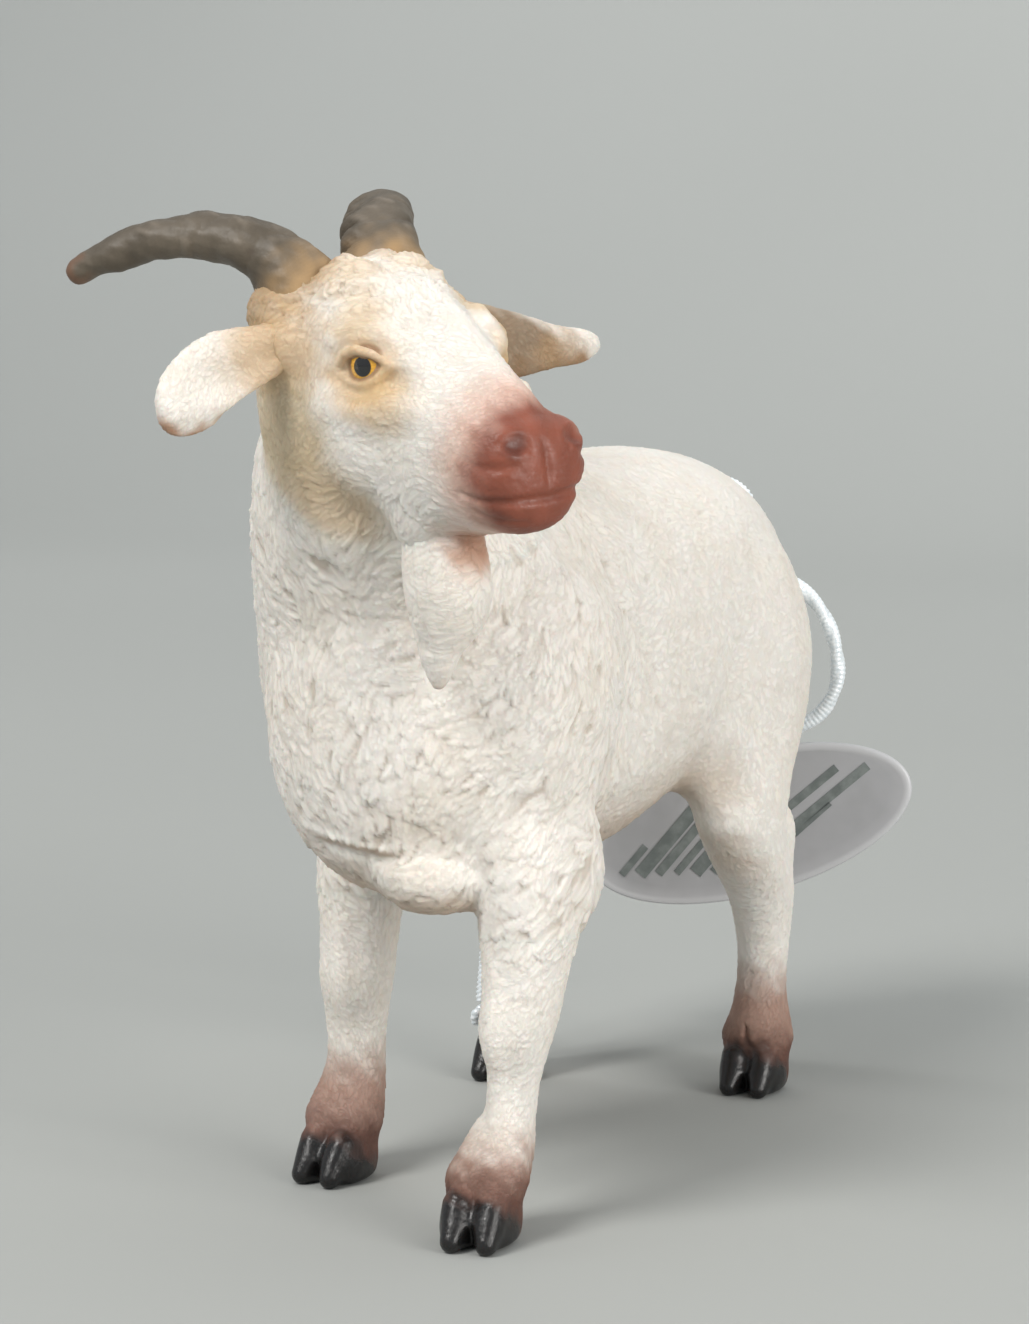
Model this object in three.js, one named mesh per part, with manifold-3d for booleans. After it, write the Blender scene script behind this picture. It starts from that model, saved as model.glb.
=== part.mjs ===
// Moulded toy billy goat, painted, with a swing tag on a satin cord.
// Millimetres, +Z up. The goat faces -Y, its left side is +X, and its soles stand on Z = 0.
import * as THREE from "three";
import { mergeVertices } from "three/addons/utils/BufferGeometryUtils.js";
import Module from "manifold-3d";

const wasm = await Module();
wasm.setup();

// ---- driving dimensions ----
const GAP = 0.3; // clearance between mouldings that plug together
const FIGURE_SHIFT = [1.71, -2.39, 0]; // puts the middle of the figure's outline box over the origin
const HEAD_PLACE = [1.2, -31.4, 73.2]; // middle of the head, between and behind the eyes
const HEAD_TURN = 62; // degrees the head is turned to the goat's left
const HEAD_LEAN = 6.8; // degrees the left side of the head is raised
const CORD_DIAMETER = 1.6;
const CORD_SIDES = 8;
const CORD_STEP = 2.4; // length of one step of a cord's tube, in diameters
const CARD_LENGTH = 35;
const CARD_WIDTH = 15;
const CARD_THICKNESS = 0.7;
const CARD_RISE = 17; // degrees the card's long axis rises towards the goat's left
const CARD_TURN = 15; // degrees the card is turned about the upright
const CARD_HOLE = [3.2, 48.75, 28]; // centre of the hole in the card
const CARD_HOLE_RADIUS = 1.5;
const CARD_MIDDLE_BELOW_HOLE = 4.9;
const LABEL_LENGTH = 24;
const LABEL_WIDTH = 7.5;
const LABEL_THICKNESS = 0.25;
const LABEL_LIFT = 0.1; // air between the label and the card
const TIE_RADIUS = 3.2;
const TIE_CORD_RADIUS = 0.7;

// ---- materials ----
const paint = (hex, roughness, metalness = 0) =>
  new THREE.MeshStandardMaterial({ color: hex, roughness, metalness });
const coat = paint(0xede6da, 0.62);
const hornPaint = paint(0x7a6a5c, 0.55);
const legPaint = paint(0xe9e0d3, 0.6);
const cardStock = paint(0xc3c4c6, 0.35);
const labelInk = paint(0x7f8786, 0.6);
const satin = paint(0xdfe9ec, 0.35, 0.1);

// ---- shape helpers ----
const radians = THREE.MathUtils.degToRad;
const power = (value, exponent) => Math.sign(value) * Math.abs(value) ** exponent;

const curveThrough = (points) => new THREE.CatmullRomCurve3(points, false, "catmullrom");

// A closed body through oval stations [x, y, z, half width, half depth]. Its sections are square to
// "level" where that is given, and otherwise square to the line through the stations.
// "swell" makes every section bigger all round and both ends longer.
function loft(stations, { sides, rings, across = [1, 0, 0], level = null, square = 2, swell = 0 }) {
  const spine = curveThrough(stations.map(([x, y, z]) => new THREE.Vector3(x, y, z)));
  const girth = curveThrough(stations.map(([, , , a, b]) => new THREE.Vector3(a, b, 0)));
  const geometry = new THREE.SphereGeometry(1, sides, rings);
  const vertices = geometry.attributes.position;
  const wide = new THREE.Vector3(...across);
  for (let row = 0; row <= rings; row++) {
    const t = THREE.MathUtils.clamp((row - 1) / (rings - 2), 0, 1);
    const centre = spine.getPoint(t);
    const half = girth.getPoint(t);
    const ahead = level ? new THREE.Vector3(...level) : spine.getTangent(t);
    const side = wide.clone().addScaledVector(ahead, -wide.dot(ahead)).normalize();
    const deep = ahead.clone().cross(side).normalize();
    const atPole = row === 0 || row === rings;
    const reach = t === 0 ? -swell : t === 1 ? swell : 0;
    centre.addScaledVector(ahead, reach);
    for (let i = 0; i <= sides; i++) {
      const turn = (2 * Math.PI * i) / sides;
      const a = atPole ? 0 : Math.max(half.x, 0.05) + swell;
      const b = atPole ? 0 : Math.max(half.y, 0.05) + swell;
      const point = centre
        .clone()
        .addScaledVector(side, a * power(Math.cos(turn), 2 / square))
        .addScaledVector(deep, b * power(Math.sin(turn), 2 / square));
      vertices.setXYZ(row * (sides + 1) + i, point.x, point.y, point.z);
    }
  }
  return solid(geometry);
}

// A three.js geometry as a manifold solid, for cutting and joining.
function solid(geometry) {
  const bare = geometry.clone();
  bare.deleteAttribute("normal");
  bare.deleteAttribute("uv");
  const merged = mergeVertices(bare, 1e-4);
  const made = new wasm.Manifold(
    new wasm.Mesh({
      numProp: 3,
      vertProperties: new Float32Array(merged.attributes.position.array),
      triVerts: new Uint32Array(merged.index.array),
    }),
  );
  return made.volume() < 0 ? solid(flipped(merged)) : made;
}

function flipped(geometry) {
  const turned = geometry.clone();
  const order = turned.index.array;
  for (let i = 0; i < order.length; i += 3) {
    [order[i], order[i + 1]] = [order[i + 1], order[i]];
  }
  return turned;
}

function placed(shape, matrix) {
  return shape.transform(matrix.elements);
}

const joined = (first, ...others) => others.reduce((sum, other) => sum.add(other), first);
const cut = (first, ...others) => others.reduce((rest, other) => rest.subtract(other), first);

// The named mesh of a solid.
function piece(name, shape, material) {
  const { numProp, vertProperties, triVerts } = shape.getMesh();
  const geometry = new THREE.BufferGeometry();
  const count = vertProperties.length / numProp;
  const places = new Float32Array(count * 3);
  for (let i = 0; i < count; i++) {
    places.set(vertProperties.subarray(i * numProp, i * numProp + 3), i * 3);
  }
  geometry.setAttribute("position", new THREE.BufferAttribute(places, 3));
  geometry.setIndex(new THREE.BufferAttribute(new Uint32Array(triVerts), 1));
  geometry.computeVertexNormals();
  const mesh = new THREE.Mesh(geometry, material);
  mesh.name = name;
  return mesh;
}

const mirrored = (stations) => stations.map(([x, ...rest]) => [-x, ...rest]);

// ---- body with the neck ----
const TRUNK = [
  [0, -33.2, 44.5, 3, 5],
  [0, -31.6, 44.2, 8, 10.8],
  [0, -27.5, 44, 12.2, 15.6],
  [0, -20, 45.6, 14, 17.8],
  [0, -10, 46, 14.2, 18.6],
  [0, 0, 45.6, 14.5, 18.4],
  [0, 10, 46.3, 14.8, 17.4],
  [0, 20, 47.8, 14.8, 16.2],
  [0, 30, 48.2, 13.7, 14.6],
  [0, 38, 48, 11.2, 12],
  [0, 42.3, 48, 7.6, 8.6],
  [0, 44.2, 48, 3, 3.6],
];
const NECK = [
  [-0.6, -12, 40, 13.6, 14],
  [-1.2, -16, 47, 15.4, 15],
  [-2, -20.5, 55, 13.6, 13],
  [-2.1, -24.4, 62, 11.5, 11.4],
  [-1, -27.4, 69, 9.6, 9.6],
  [0.4, -29.4, 72.5, 7.6, 7.6],
];
const SHEATH = [
  [0, 6, 30.5, 1.4, 1.2],
  [0, 10.5, 28.4, 2.4, 2],
  [0, 15, 28, 2, 1.8],
  [0, 17.4, 28.2, 0.8, 0.8],
];

// ---- head, in its own frame: muzzle along -Y, middle of the skull at the origin ----
const SKULL = [
  [0, 10, 0.4, 2.4, 3.4],
  [0, 8.4, 0.3, 6, 7.2],
  [0, 4.5, 0.2, 7.9, 8.8],
  [-0.1, 0, -1, 8.2, 10.1],
  [-0.3, -4.5, -2.8, 7.4, 10.1],
  [-0.5, -9, -4.8, 6.2, 8.9],
  [-0.6, -13, -6.2, 5.2, 7],
  [-0.7, -16.2, -7.2, 4.9, 5.7],
  [-0.7, -18.8, -7.9, 4.6, 4.8],
  [-0.7, -20.6, -8.2, 3.8, 3.9],
  [-0.7, -21.3, -8.3, 1.7, 1.8],
];
const NECK_PLUG = [
  [0, 2, -14.5, 4, 4],
  [0, 2, -4, 4, 4],
];
const HORN = [
  [3.8, 3.9, 5.1, 3.3, 2.9],
  [4.4, 4.8, 7.5, 3.2, 2.75],
  [5.7, 6.7, 9.6, 3, 2.5],
  [7.9, 9.6, 11, 2.7, 2.15],
  [10.6, 12.8, 11.5, 2.25, 1.75],
  [13.2, 16.1, 10.9, 1.75, 1.4],
  [15.3, 18.6, 9.9, 1.25, 1.05],
  [16.3, 19.9, 9.3, 0.6, 0.55],
];
const LEFT_EAR = [
  [5.6, 2.8, 2.9, 1.3, 1.7],
  [8.4, 2.8, 1.7, 1.2, 2.8],
  [11.5, 2.4, 0.1, 0.85, 3.7],
  [15, 2, -0.5, 0.75, 3.1],
  [18.6, 1.7, -1.1, 0.7, 2.1],
  [21.6, 1.5, -1.3, 0.55, 1.2],
  [23.3, 1.5, -1.5, 0.35, 0.5],
];
const RIGHT_EAR = [
  [-5.6, 2.8, 2.2, 1.3, 1.6],
  [-8.4, 2.7, 2.3, 1.2, 2],
  [-11.2, 2.3, 2, 0.85, 2.6],
  [-14.2, 1.9, 1.5, 0.75, 3.1],
  [-17, 1.6, 0.6, 0.7, 2.9],
  [-19.2, 1.5, -0.4, 0.55, 2.2],
  [-20.4, 1.5, -1, 0.35, 0.9],
];
const BEARD = [
  [-1.2, -7.6, -10, 2.6, 3.2],
  [-1.6, -7.8, -14, 3, 3.9],
  [-2, -7.7, -17.2, 2.7, 3.7],
  [-2.4, -7.6, -20.4, 2.1, 2.9],
  [-2.8, -7.5, -23.8, 1.3, 1.7],
  [-3.1, -7.4, -26.1, 0.4, 0.5],
];
const TAIL = [
  [0, 38.5, 55.4, 2.4, 2],
  [0, 42.5, 56, 2.8, 2.1],
  [0, 46.5, 55.9, 3, 2],
  [0, 50.4, 54, 2.7, 1.7],
  [0, 52.3, 50.4, 1.9, 1.3],
  [0, 52.7, 47.6, 0.7, 0.6],
];

// ---- legs: sections are level, from inside the body down to the pastern ----
const FORE_LEFT_LEG = [
  [8, -22.2, 42, 2.6, 3.6],
  [9.4, -22.6, 37.5, 3.8, 5.6],
  [10.8, -23.4, 32, 4.5, 5.8],
  [11.2, -24.4, 27, 4.2, 4.8],
  [11.1, -25.3, 22.5, 3.6, 3.9],
  [10.8, -25.8, 18, 3.1, 3.5],
  [10.3, -25.8, 13.5, 2.15, 2.6],
  [10, -26.1, 10, 2.1, 2.6],
  [9.7, -26.9, 7.2, 2.6, 3.1],
  [9.3, -28.1, 5, 3, 3.1],
  [9.1, -28.8, 3.4, 2.3, 2.2],
];
const FORE_RIGHT_LEG = [
  [-8, -9.4, 42, 2.6, 3.6],
  [-9.4, -9.8, 37.5, 3.8, 5.6],
  [-10.6, -10.6, 32, 4.3, 5.8],
  [-11, -11.8, 27, 3.9, 4.7],
  [-11, -12.6, 22.5, 3.5, 3.8],
  [-11.1, -13, 18, 3.3, 3.5],
  [-11.2, -13, 13.5, 2.75, 2.6],
  [-11.1, -13.3, 10, 2.6, 2.6],
  [-11.2, -14.1, 7.2, 3, 3.1],
  [-11.2, -15.2, 5, 3.2, 3.1],
  [-11.1, -16, 3.4, 2.4, 2.2],
];
const HIND_LEFT_LEG = [
  [7.5, 26, 48, 3, 7],
  [9.8, 26.2, 44, 4.4, 9.8],
  [10.9, 25.2, 39, 4.6, 10.6],
  [11.8, 23.2, 33, 4.4, 8.8],
  [12.5, 21.6, 28, 3.9, 6.4],
  [12.6, 24, 24, 3.5, 5.2],
  [12.5, 27.2, 20.5, 3.1, 4.3],
  [12.2, 28.9, 16.5, 2.6, 3.2],
  [12, 29.3, 12.5, 2.35, 2.7],
  [11.8, 29.3, 9.5, 2.5, 2.9],
  [11.6, 29.4, 7, 2.8, 3.2],
  [11.4, 29.4, 4.8, 3, 3],
  [11.3, 29.2, 3.4, 2.3, 2.2],
];
const HIND_RIGHT_LEG = [
  [-7.5, 26, 48, 3, 7],
  [-9.8, 26.4, 44, 4.4, 9.8],
  [-10.8, 25.8, 39, 4.6, 10.5],
  [-11.3, 24.6, 33, 4.4, 8.8],
  [-11, 24.4, 28, 3.9, 6.3],
  [-10.4, 27, 24, 3.5, 5],
  [-10, 29.2, 20.5, 3.1, 4.2],
  [-10.1, 29.2, 16.5, 2.6, 3.2],
  [-10.7, 28, 12.5, 2.35, 2.7],
  [-11.2, 27, 9.5, 2.5, 2.9],
  [-12, 26, 7, 2.8, 3.2],
  [-12.6, 24.8, 4.8, 3, 3],
  [-12.9, 24.2, 3.4, 2.3, 2.2],
];
const TOE = [
  [0, 0.9, 4.6, 1.1, 2.2],
  [0.1, 0.4, 3.2, 1.5, 3],
  [0.15, 0, 1.4, 1.6, 3.3],
  [0.1, 0.1, 0, 1.4, 2.9],
];
const TOE_SPREAD = 1.55;

const FORE_LEFT_HOOF = [9.05, -29.9];
const FORE_RIGHT_HOOF = [-11.1, -16.9];
const HIND_LEFT_HOOF = [11.3, 29];
const HIND_RIGHT_HOOF = [-13, 24];

const LEVEL = [0, 0, -1];

function moved(stations, x, y) {
  return stations.map(([sx, sy, ...rest]) => [sx + x, sy + y, ...rest]);
}

// One leg: the limb and the two flat-soled toes of its cloven hoof.
function leg(limb, [hoofX, hoofY], swell = 0) {
  const body = loft(limb, { sides: 14, rings: 20, level: LEVEL, square: 2.1, swell });
  const toes = [1, -1].map((outwards) => {
    const shape = outwards > 0 ? TOE : mirrored(TOE);
    const place = moved(shape, hoofX + outwards * TOE_SPREAD, hoofY);
    return loft(place, { sides: 10, rings: 7, level: LEVEL, square: 2.3 });
  });
  return joined(body, ...toes);
}

const legs = {
  front_left_leg: [FORE_LEFT_LEG, FORE_LEFT_HOOF],
  front_right_leg: [FORE_RIGHT_LEG, FORE_RIGHT_HOOF],
  rear_left_leg: [HIND_LEFT_LEG, HIND_LEFT_HOOF],
  rear_right_leg: [HIND_RIGHT_LEG, HIND_RIGHT_HOOF],
};

// ---- head assembly ----
const headPose = new THREE.Matrix4()
  .makeTranslation(...HEAD_PLACE)
  .multiply(new THREE.Matrix4().makeRotationZ(radians(HEAD_TURN)))
  .multiply(new THREE.Matrix4().makeRotationY(radians(-HEAD_LEAN)));

const skull = (swell) => loft(SKULL, { sides: 22, rings: 20, level: [0, -1, 0], square: 2.15, swell });
const plug = (swell) => loft(NECK_PLUG, { sides: 14, rings: 4, level: [0, 0, 1], swell });
const beardLoft = (swell) => loft(BEARD, { sides: 12, rings: 11, level: LEVEL, swell });
const hornLoft = (outwards, swell) => {
  const across = [0.7 * outwards, -0.7, 0];
  return loft(outwards > 0 ? HORN : mirrored(HORN), { sides: 12, rings: 18, across, swell });
};
const earLoft = (outwards, swell) => {
  const across = [0, 1, -0.35];
  return loft(outwards > 0 ? LEFT_EAR : RIGHT_EAR, { sides: 12, rings: 13, across, swell });
};

const headBlank = (swell) => joined(skull(swell), plug(swell));
const headSolid = cut(
  headBlank(0),
  hornLoft(1, GAP),
  hornLoft(-1, GAP),
  earLoft(1, GAP),
  earLoft(-1, GAP),
  beardLoft(GAP),
);

const headGroup = new THREE.Group();
headGroup.applyMatrix4(headPose);
headGroup.add(
  piece("head", headSolid, coat),
  piece("left_horn", hornLoft(1, 0), hornPaint),
  piece("right_horn", hornLoft(-1, 0), hornPaint),
  piece("left_ear", earLoft(1, 0), coat),
  piece("right_ear", earLoft(-1, 0), coat),
  piece("beard", beardLoft(0), coat),
);

// ---- body, legs and tail ----
const trunk = loft(TRUNK, { sides: 24, rings: 26, level: [0, 1, 0], square: 2.2 });
const neck = loft(NECK, { sides: 22, rings: 12, square: 2.1 });
const sheath = loft(SHEATH, { sides: 10, rings: 8, level: [0, 1, 0] });
const tail = (swell) => loft(TAIL, { sides: 12, rings: 14, swell });
const torsoSolid = cut(
  joined(trunk, neck, sheath),
  placed(headBlank(GAP), headPose),
  placed(beardLoft(GAP), headPose),
  placed(earLoft(1, GAP), headPose),
  tail(GAP),
  ...Object.values(legs).map(([limb, hoof]) => leg(limb, hoof, GAP)),
);

const figure = new THREE.Group();
figure.add(headGroup, piece("torso", torsoSolid, coat), piece("tail", tail(0), coat));
for (const [name, [limb, hoof]] of Object.entries(legs)) {
  figure.add(piece(name, leg(limb, hoof), legPaint));
}

// ---- cord tied round the tail ----
// The loop that carries the tag, as [towards the goat's left along the card, up] from its middle line.
const CORD_LOOP_MIDDLE = [1.9, 48.4];
const CORD_LOOP = [
  [1.1, 50.3],
  [3.4, 49.6],
  [6.2, 48.2],
  [8.7, 45.6],
  [10.1, 42.2],
  [10.4, 38.6],
  [9.3, 35.7],
  [7, 33.7],
  [4, 32.8],
  [1.35, 32.6],
  [-1.5, 33],
  [-4.4, 34.4],
  [-6.6, 36.8],
  [-7.7, 39.8],
  [-7.9, 43],
  [-6.8, 46.3],
  [-5, 48.7],
  [-3.1, 50.1],
];
// The spare end, over the right hip and down the flank.
const CORD_END = [
  [-2.8, 44.6, 58.4],
  [-3.6, 43, 58.2],
  [-4.9, 41, 58.4],
  [-6.8, 38.3, 59.7],
  [-9.1, 34.8, 59.8],
  [-11.8, 31.8, 58],
  [-14.1, 29.6, 54.5],
  [-15.5, 28.3, 49.3],
  [-16.2, 27.5, 43.6],
  [-16.7, 27.2, 38],
  [-16.9, 27.3, 31.5],
  [-17, 27.6, 25],
  [-17.1, 27.8, 18.5],
  [-17.3, 27.7, 12],
  [-17.6, 27.4, 6.6],
];
const END_KNOT_PLACE = [-17.7, 27.3, 5];
const END_KNOT_RADII = [1.15, 1.15, 1.3];
const HITCH_PLACE = [0, 45.9, 55.9];
const HITCH_REACH = [4.1, 3.2]; // half width and half height of the turn round the tail
const HITCH_KNOT_PLACE = [0.9, 47.5, 51.3];
const HITCH_KNOT_RADII = [1.8, 1.9, 1.7];

const cardAlong = [Math.cos(radians(CARD_TURN)), Math.sin(radians(CARD_TURN))];
const loopRoute = CORD_LOOP.map(([along, up]) => [
  CORD_LOOP_MIDDLE[0] + along * cardAlong[0],
  CORD_LOOP_MIDDLE[1] + along * cardAlong[1],
  up,
]);

function cordTube(points) {
  const route = new THREE.CatmullRomCurve3(points.map((place) => new THREE.Vector3(...place)));
  const section = new THREE.Shape();
  section.absarc(0, 0, CORD_DIAMETER / 2, 0, 2 * Math.PI);
  const steps = Math.round(route.getLength() / (CORD_STEP * CORD_DIAMETER));
  const options = { steps, extrudePath: route, bevelEnabled: false, curveSegments: CORD_SIDES };
  return solid(new THREE.ExtrudeGeometry(section, options));
}

function knot(place, radii) {
  const lump = new THREE.SphereGeometry(1, 12, 8);
  lump.scale(...radii);
  lump.translate(...place);
  return solid(lump);
}

function hitchTurn() {
  const turn = new THREE.TorusGeometry(1, CORD_DIAMETER / 2 / HITCH_REACH[0], 8, 24);
  turn.scale(HITCH_REACH[0], HITCH_REACH[1], HITCH_REACH[0]);
  turn.rotateX(Math.PI / 2);
  turn.translate(...HITCH_PLACE);
  return solid(turn);
}

const cordGroup = new THREE.Group();
cordGroup.add(
  piece("tail_hitch", joined(hitchTurn(), knot(HITCH_KNOT_PLACE, HITCH_KNOT_RADII)), satin),
  piece("tag_cord", cordTube(loopRoute), satin),
  piece("spare_cord", cordTube(CORD_END), satin),
  piece("spare_cord_knot", knot(END_KNOT_PLACE, END_KNOT_RADII), satin),
);

// ---- swing tag, in its own frame: X along the card, Y up, Z towards the goat, origin at the hole ----
function cardShape() {
  const outline = new THREE.Shape();
  const rise = radians(CARD_RISE);
  const [halfLong, halfWide] = [CARD_LENGTH / 2, CARD_WIDTH / 2];
  outline.absellipse(0, -CARD_MIDDLE_BELOW_HOLE, halfLong, halfWide, 0, 2 * Math.PI, false, rise);
  const hole = new THREE.Path();
  hole.absarc(0, 0, CARD_HOLE_RADIUS, 0, 2 * Math.PI, true);
  outline.holes.push(hole);
  const card = new THREE.ExtrudeGeometry(outline, {
    depth: CARD_THICKNESS,
    bevelEnabled: false,
    curveSegments: 18,
  });
  card.translate(0, 0, -CARD_THICKNESS / 2);
  return solid(card);
}

function labelShape() {
  const outline = new THREE.Shape();
  const [right, top, corner] = [LABEL_LENGTH / 2, LABEL_WIDTH / 2, 1.2];
  outline.moveTo(-right + corner, -top);
  outline.lineTo(right - corner, -top);
  outline.absarc(right - corner, -top + corner, corner, -Math.PI / 2, 0);
  outline.absarc(right - corner, top - corner, corner, 0, Math.PI / 2);
  outline.absarc(-right + corner, top - corner, corner, Math.PI / 2, Math.PI);
  outline.absarc(-right + corner, -top + corner, corner, Math.PI, 1.5 * Math.PI);
  const label = new THREE.ExtrudeGeometry(outline, {
    depth: LABEL_THICKNESS,
    bevelEnabled: false,
    curveSegments: 4,
  });
  label.rotateZ(radians(CARD_RISE));
  label.translate(0, -CARD_MIDDLE_BELOW_HOLE - 1.4, CARD_THICKNESS / 2 + LABEL_LIFT);
  return solid(label);
}

function tieShape() {
  const ring = new THREE.TorusGeometry(TIE_RADIUS, TIE_CORD_RADIUS, 8, 22);
  ring.rotateY(Math.PI / 2);
  ring.translate(0, TIE_RADIUS, 0);
  return solid(ring);
}

const tag = new THREE.Group();
tag.position.set(...CARD_HOLE);
tag.rotation.set(Math.PI / 2, 0, radians(CARD_TURN), "ZYX");
tag.add(
  piece("tag_card", cardShape(), cardStock),
  piece("tag_label", labelShape(), labelInk),
  piece("tag_tie", tieShape(), satin),
);

const goat = new THREE.Group();
goat.add(figure, cordGroup, tag);
goat.position.set(...FIGURE_SHIFT);

export default goat;
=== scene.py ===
"""Looks of a moulded, hand-painted toy billy goat with a swing tag on a satin cord.

Shapes are worked out in millimetres in the figure's own frame, which is the row frame moved by
FIGURE_SHIFT, and turned into metres in the row frame when a mesh is made.
"""

import math

import bmesh
import bpy
import numpy as np
import openvdb
from mathutils import Matrix, Vector, kdtree


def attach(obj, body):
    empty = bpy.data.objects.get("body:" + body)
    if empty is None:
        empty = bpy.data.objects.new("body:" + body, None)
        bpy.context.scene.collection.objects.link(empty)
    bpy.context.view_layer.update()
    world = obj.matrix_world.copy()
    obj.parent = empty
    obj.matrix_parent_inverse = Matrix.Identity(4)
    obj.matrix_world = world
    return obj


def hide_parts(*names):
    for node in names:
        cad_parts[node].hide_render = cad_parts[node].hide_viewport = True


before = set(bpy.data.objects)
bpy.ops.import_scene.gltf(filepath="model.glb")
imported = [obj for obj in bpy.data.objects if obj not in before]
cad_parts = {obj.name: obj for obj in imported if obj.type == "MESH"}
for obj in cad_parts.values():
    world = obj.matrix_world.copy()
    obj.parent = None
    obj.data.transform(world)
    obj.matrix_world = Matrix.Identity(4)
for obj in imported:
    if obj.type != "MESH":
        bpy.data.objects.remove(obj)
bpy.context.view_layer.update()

# ---------------------------------------------------------------- driving values, in millimetres
FIGURE_SHIFT = np.array([1.71, -2.39, 0.0])
HEAD_PLACE = np.array([1.2, -31.4, 73.2])
HEAD_TURN = 62.0
HEAD_LEAN = 6.8
CORD_DIAMETER = 1.6
CARD_HOLE = np.array([3.2, 48.75, 28.0])
CARD_TURN = 15.0
CARD_RISE = 17.0
CARD_MIDDLE_BELOW_HOLE = 4.9
CARD_HALF_LENGTH = 17.5
CARD_HALF_HEIGHT = 7.5
TIE_RADIUS = 3.2
TIE_CORD_RADIUS = 0.7
HITCH_PLACE = np.array([0.0, 45.9, 55.9])
HITCH_REACH = (4.1, 3.2)
HITCH_CORD_RADIUS = 0.74
HITCH_KNOT_PLACE = np.array([0.9, 47.5, 51.3])
END_KNOT_PLACE = np.array([-17.7, 27.3, 5.0])

BODY_VOXEL = 0.25
FINE_VOXEL = 0.17
EAR_VOXEL = 0.15


def row(points):
    """Figure millimetres as row-frame metres."""
    return (np.asarray(points, float) + FIGURE_SHIFT) * 0.001


def turned(axis, degrees):
    return np.array(Matrix.Rotation(math.radians(degrees), 3, axis))


# ---------------------------------------------------------------- camera
def make_camera():
    eye, turn, tilt, lens = (124.2, -274.6, 80.6), 24.6, 6.7, 90.5
    camera = bpy.data.objects.new("camera", bpy.data.cameras.new("camera"))
    camera.data.lens = lens
    camera.data.sensor_width = 36.0
    camera.data.clip_start = 0.01
    camera.data.clip_end = 20.0
    camera.location = Vector(row(eye))
    camera.rotation_euler = (math.radians(90.0 - tilt), 0.0, math.radians(turn))
    bpy.context.scene.collection.objects.link(camera)
    bpy.context.scene.camera = camera


make_camera()


# ---------------------------------------------------------------- meshes
def make_object(name, points, faces, material, smooth=True):
    """A mesh object from row-frame points in metres."""
    mesh = bpy.data.meshes.new(name)
    mesh.from_pydata([tuple(p) for p in points], [], [tuple(f) for f in faces])
    mesh.update()
    mesh.polygons.foreach_set("use_smooth", [smooth] * len(mesh.polygons))
    piece = bpy.data.objects.new(name, mesh)
    bpy.context.scene.collection.objects.link(piece)
    mesh.materials.append(material)
    return piece


def set_values(piece, name, values):
    """Stores a value or colour on each vertex."""
    if values.ndim == 1:
        attribute = piece.data.attributes.new(name, "FLOAT", "POINT")
        attribute.data.foreach_set("value", values.astype(np.float32))
    elif name == "lock":
        attribute = piece.data.attributes.new(name, "FLOAT_VECTOR", "POINT")
        attribute.data.foreach_set("vector", values.astype(np.float32).ravel())
    else:
        attribute = piece.data.color_attributes.new(name, "FLOAT_COLOR", "POINT")
        full = np.column_stack([values, np.ones(len(values))])
        attribute.data.foreach_set("color", full.astype(np.float32).ravel())


def smooth_curve(points, step):
    """Points at most step apart on the Catmull-Rom curve (centripetal) through the given ones."""
    points = np.asarray(points, float)
    first = 2 * points[0] - points[1]
    last = 2 * points[-1] - points[-2]
    full = np.vstack([first, points, last])
    out = []
    for i in range(len(points) - 1):
        p = full[i : i + 4]
        gaps = np.maximum(np.linalg.norm(np.diff(p, axis=0), axis=1) ** 0.5, 1e-9)
        t = np.concatenate([[0], np.cumsum(gaps)])
        count = max(1, int(math.ceil(np.linalg.norm(p[2] - p[1]) / step)))
        for s in np.linspace(t[1], t[2], count, endpoint=False):
            a = [(t[j + 1] - s) / gaps[j] * p[j] + (s - t[j]) / gaps[j] * p[j + 1] for j in range(3)]
            b = [
                (t[j + 2] - s) / (t[j + 2] - t[j]) * a[j] + (s - t[j]) / (t[j + 2] - t[j]) * a[j + 1]
                for j in range(2)
            ]
            out.append((t[2] - s) / gaps[1] * b[0] + (s - t[1]) / gaps[1] * b[1])
    out.append(points[-1])
    return np.array(out)


RIB_PITCH = 0.46
RIB_DEPTH = 0.07


def rings_along(path, radius, sides, plies, pitch, depth, closed=False):
    """Rings of a tube along a path, its section lobed by the plies that twist round it."""
    path = np.asarray(path, float)
    ahead = np.gradient(path, axis=0)
    if closed:
        ahead = np.roll(path, -1, 0) - np.roll(path, 1, 0)
    ahead /= np.linalg.norm(ahead, axis=1)[:, None]
    side = np.cross(ahead[0], [0.3, 0.2, 0.93])
    side /= np.linalg.norm(side)
    travelled = np.concatenate([[0], np.cumsum(np.linalg.norm(np.diff(path, axis=0), axis=1))])
    angles = np.arange(sides) * 2 * math.pi / sides
    rings = []
    for i, centre in enumerate(path):
        side = side - ahead[i] * side.dot(ahead[i])
        side /= np.linalg.norm(side)
        other = np.cross(ahead[i], side)
        spin = 2 * math.pi * travelled[i] / pitch
        lobes = np.abs(np.cos(plies * (angles - spin) / 2))
        rib = 1 - RIB_DEPTH * (0.5 + 0.5 * math.cos(2 * math.pi * travelled[i] / RIB_PITCH))
        r = radius * (1 - depth + depth * lobes) * rib
        rings.append(centre + np.outer(np.cos(angles) * r, side) + np.outer(np.sin(angles) * r, other))
    return np.array(rings)


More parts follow.
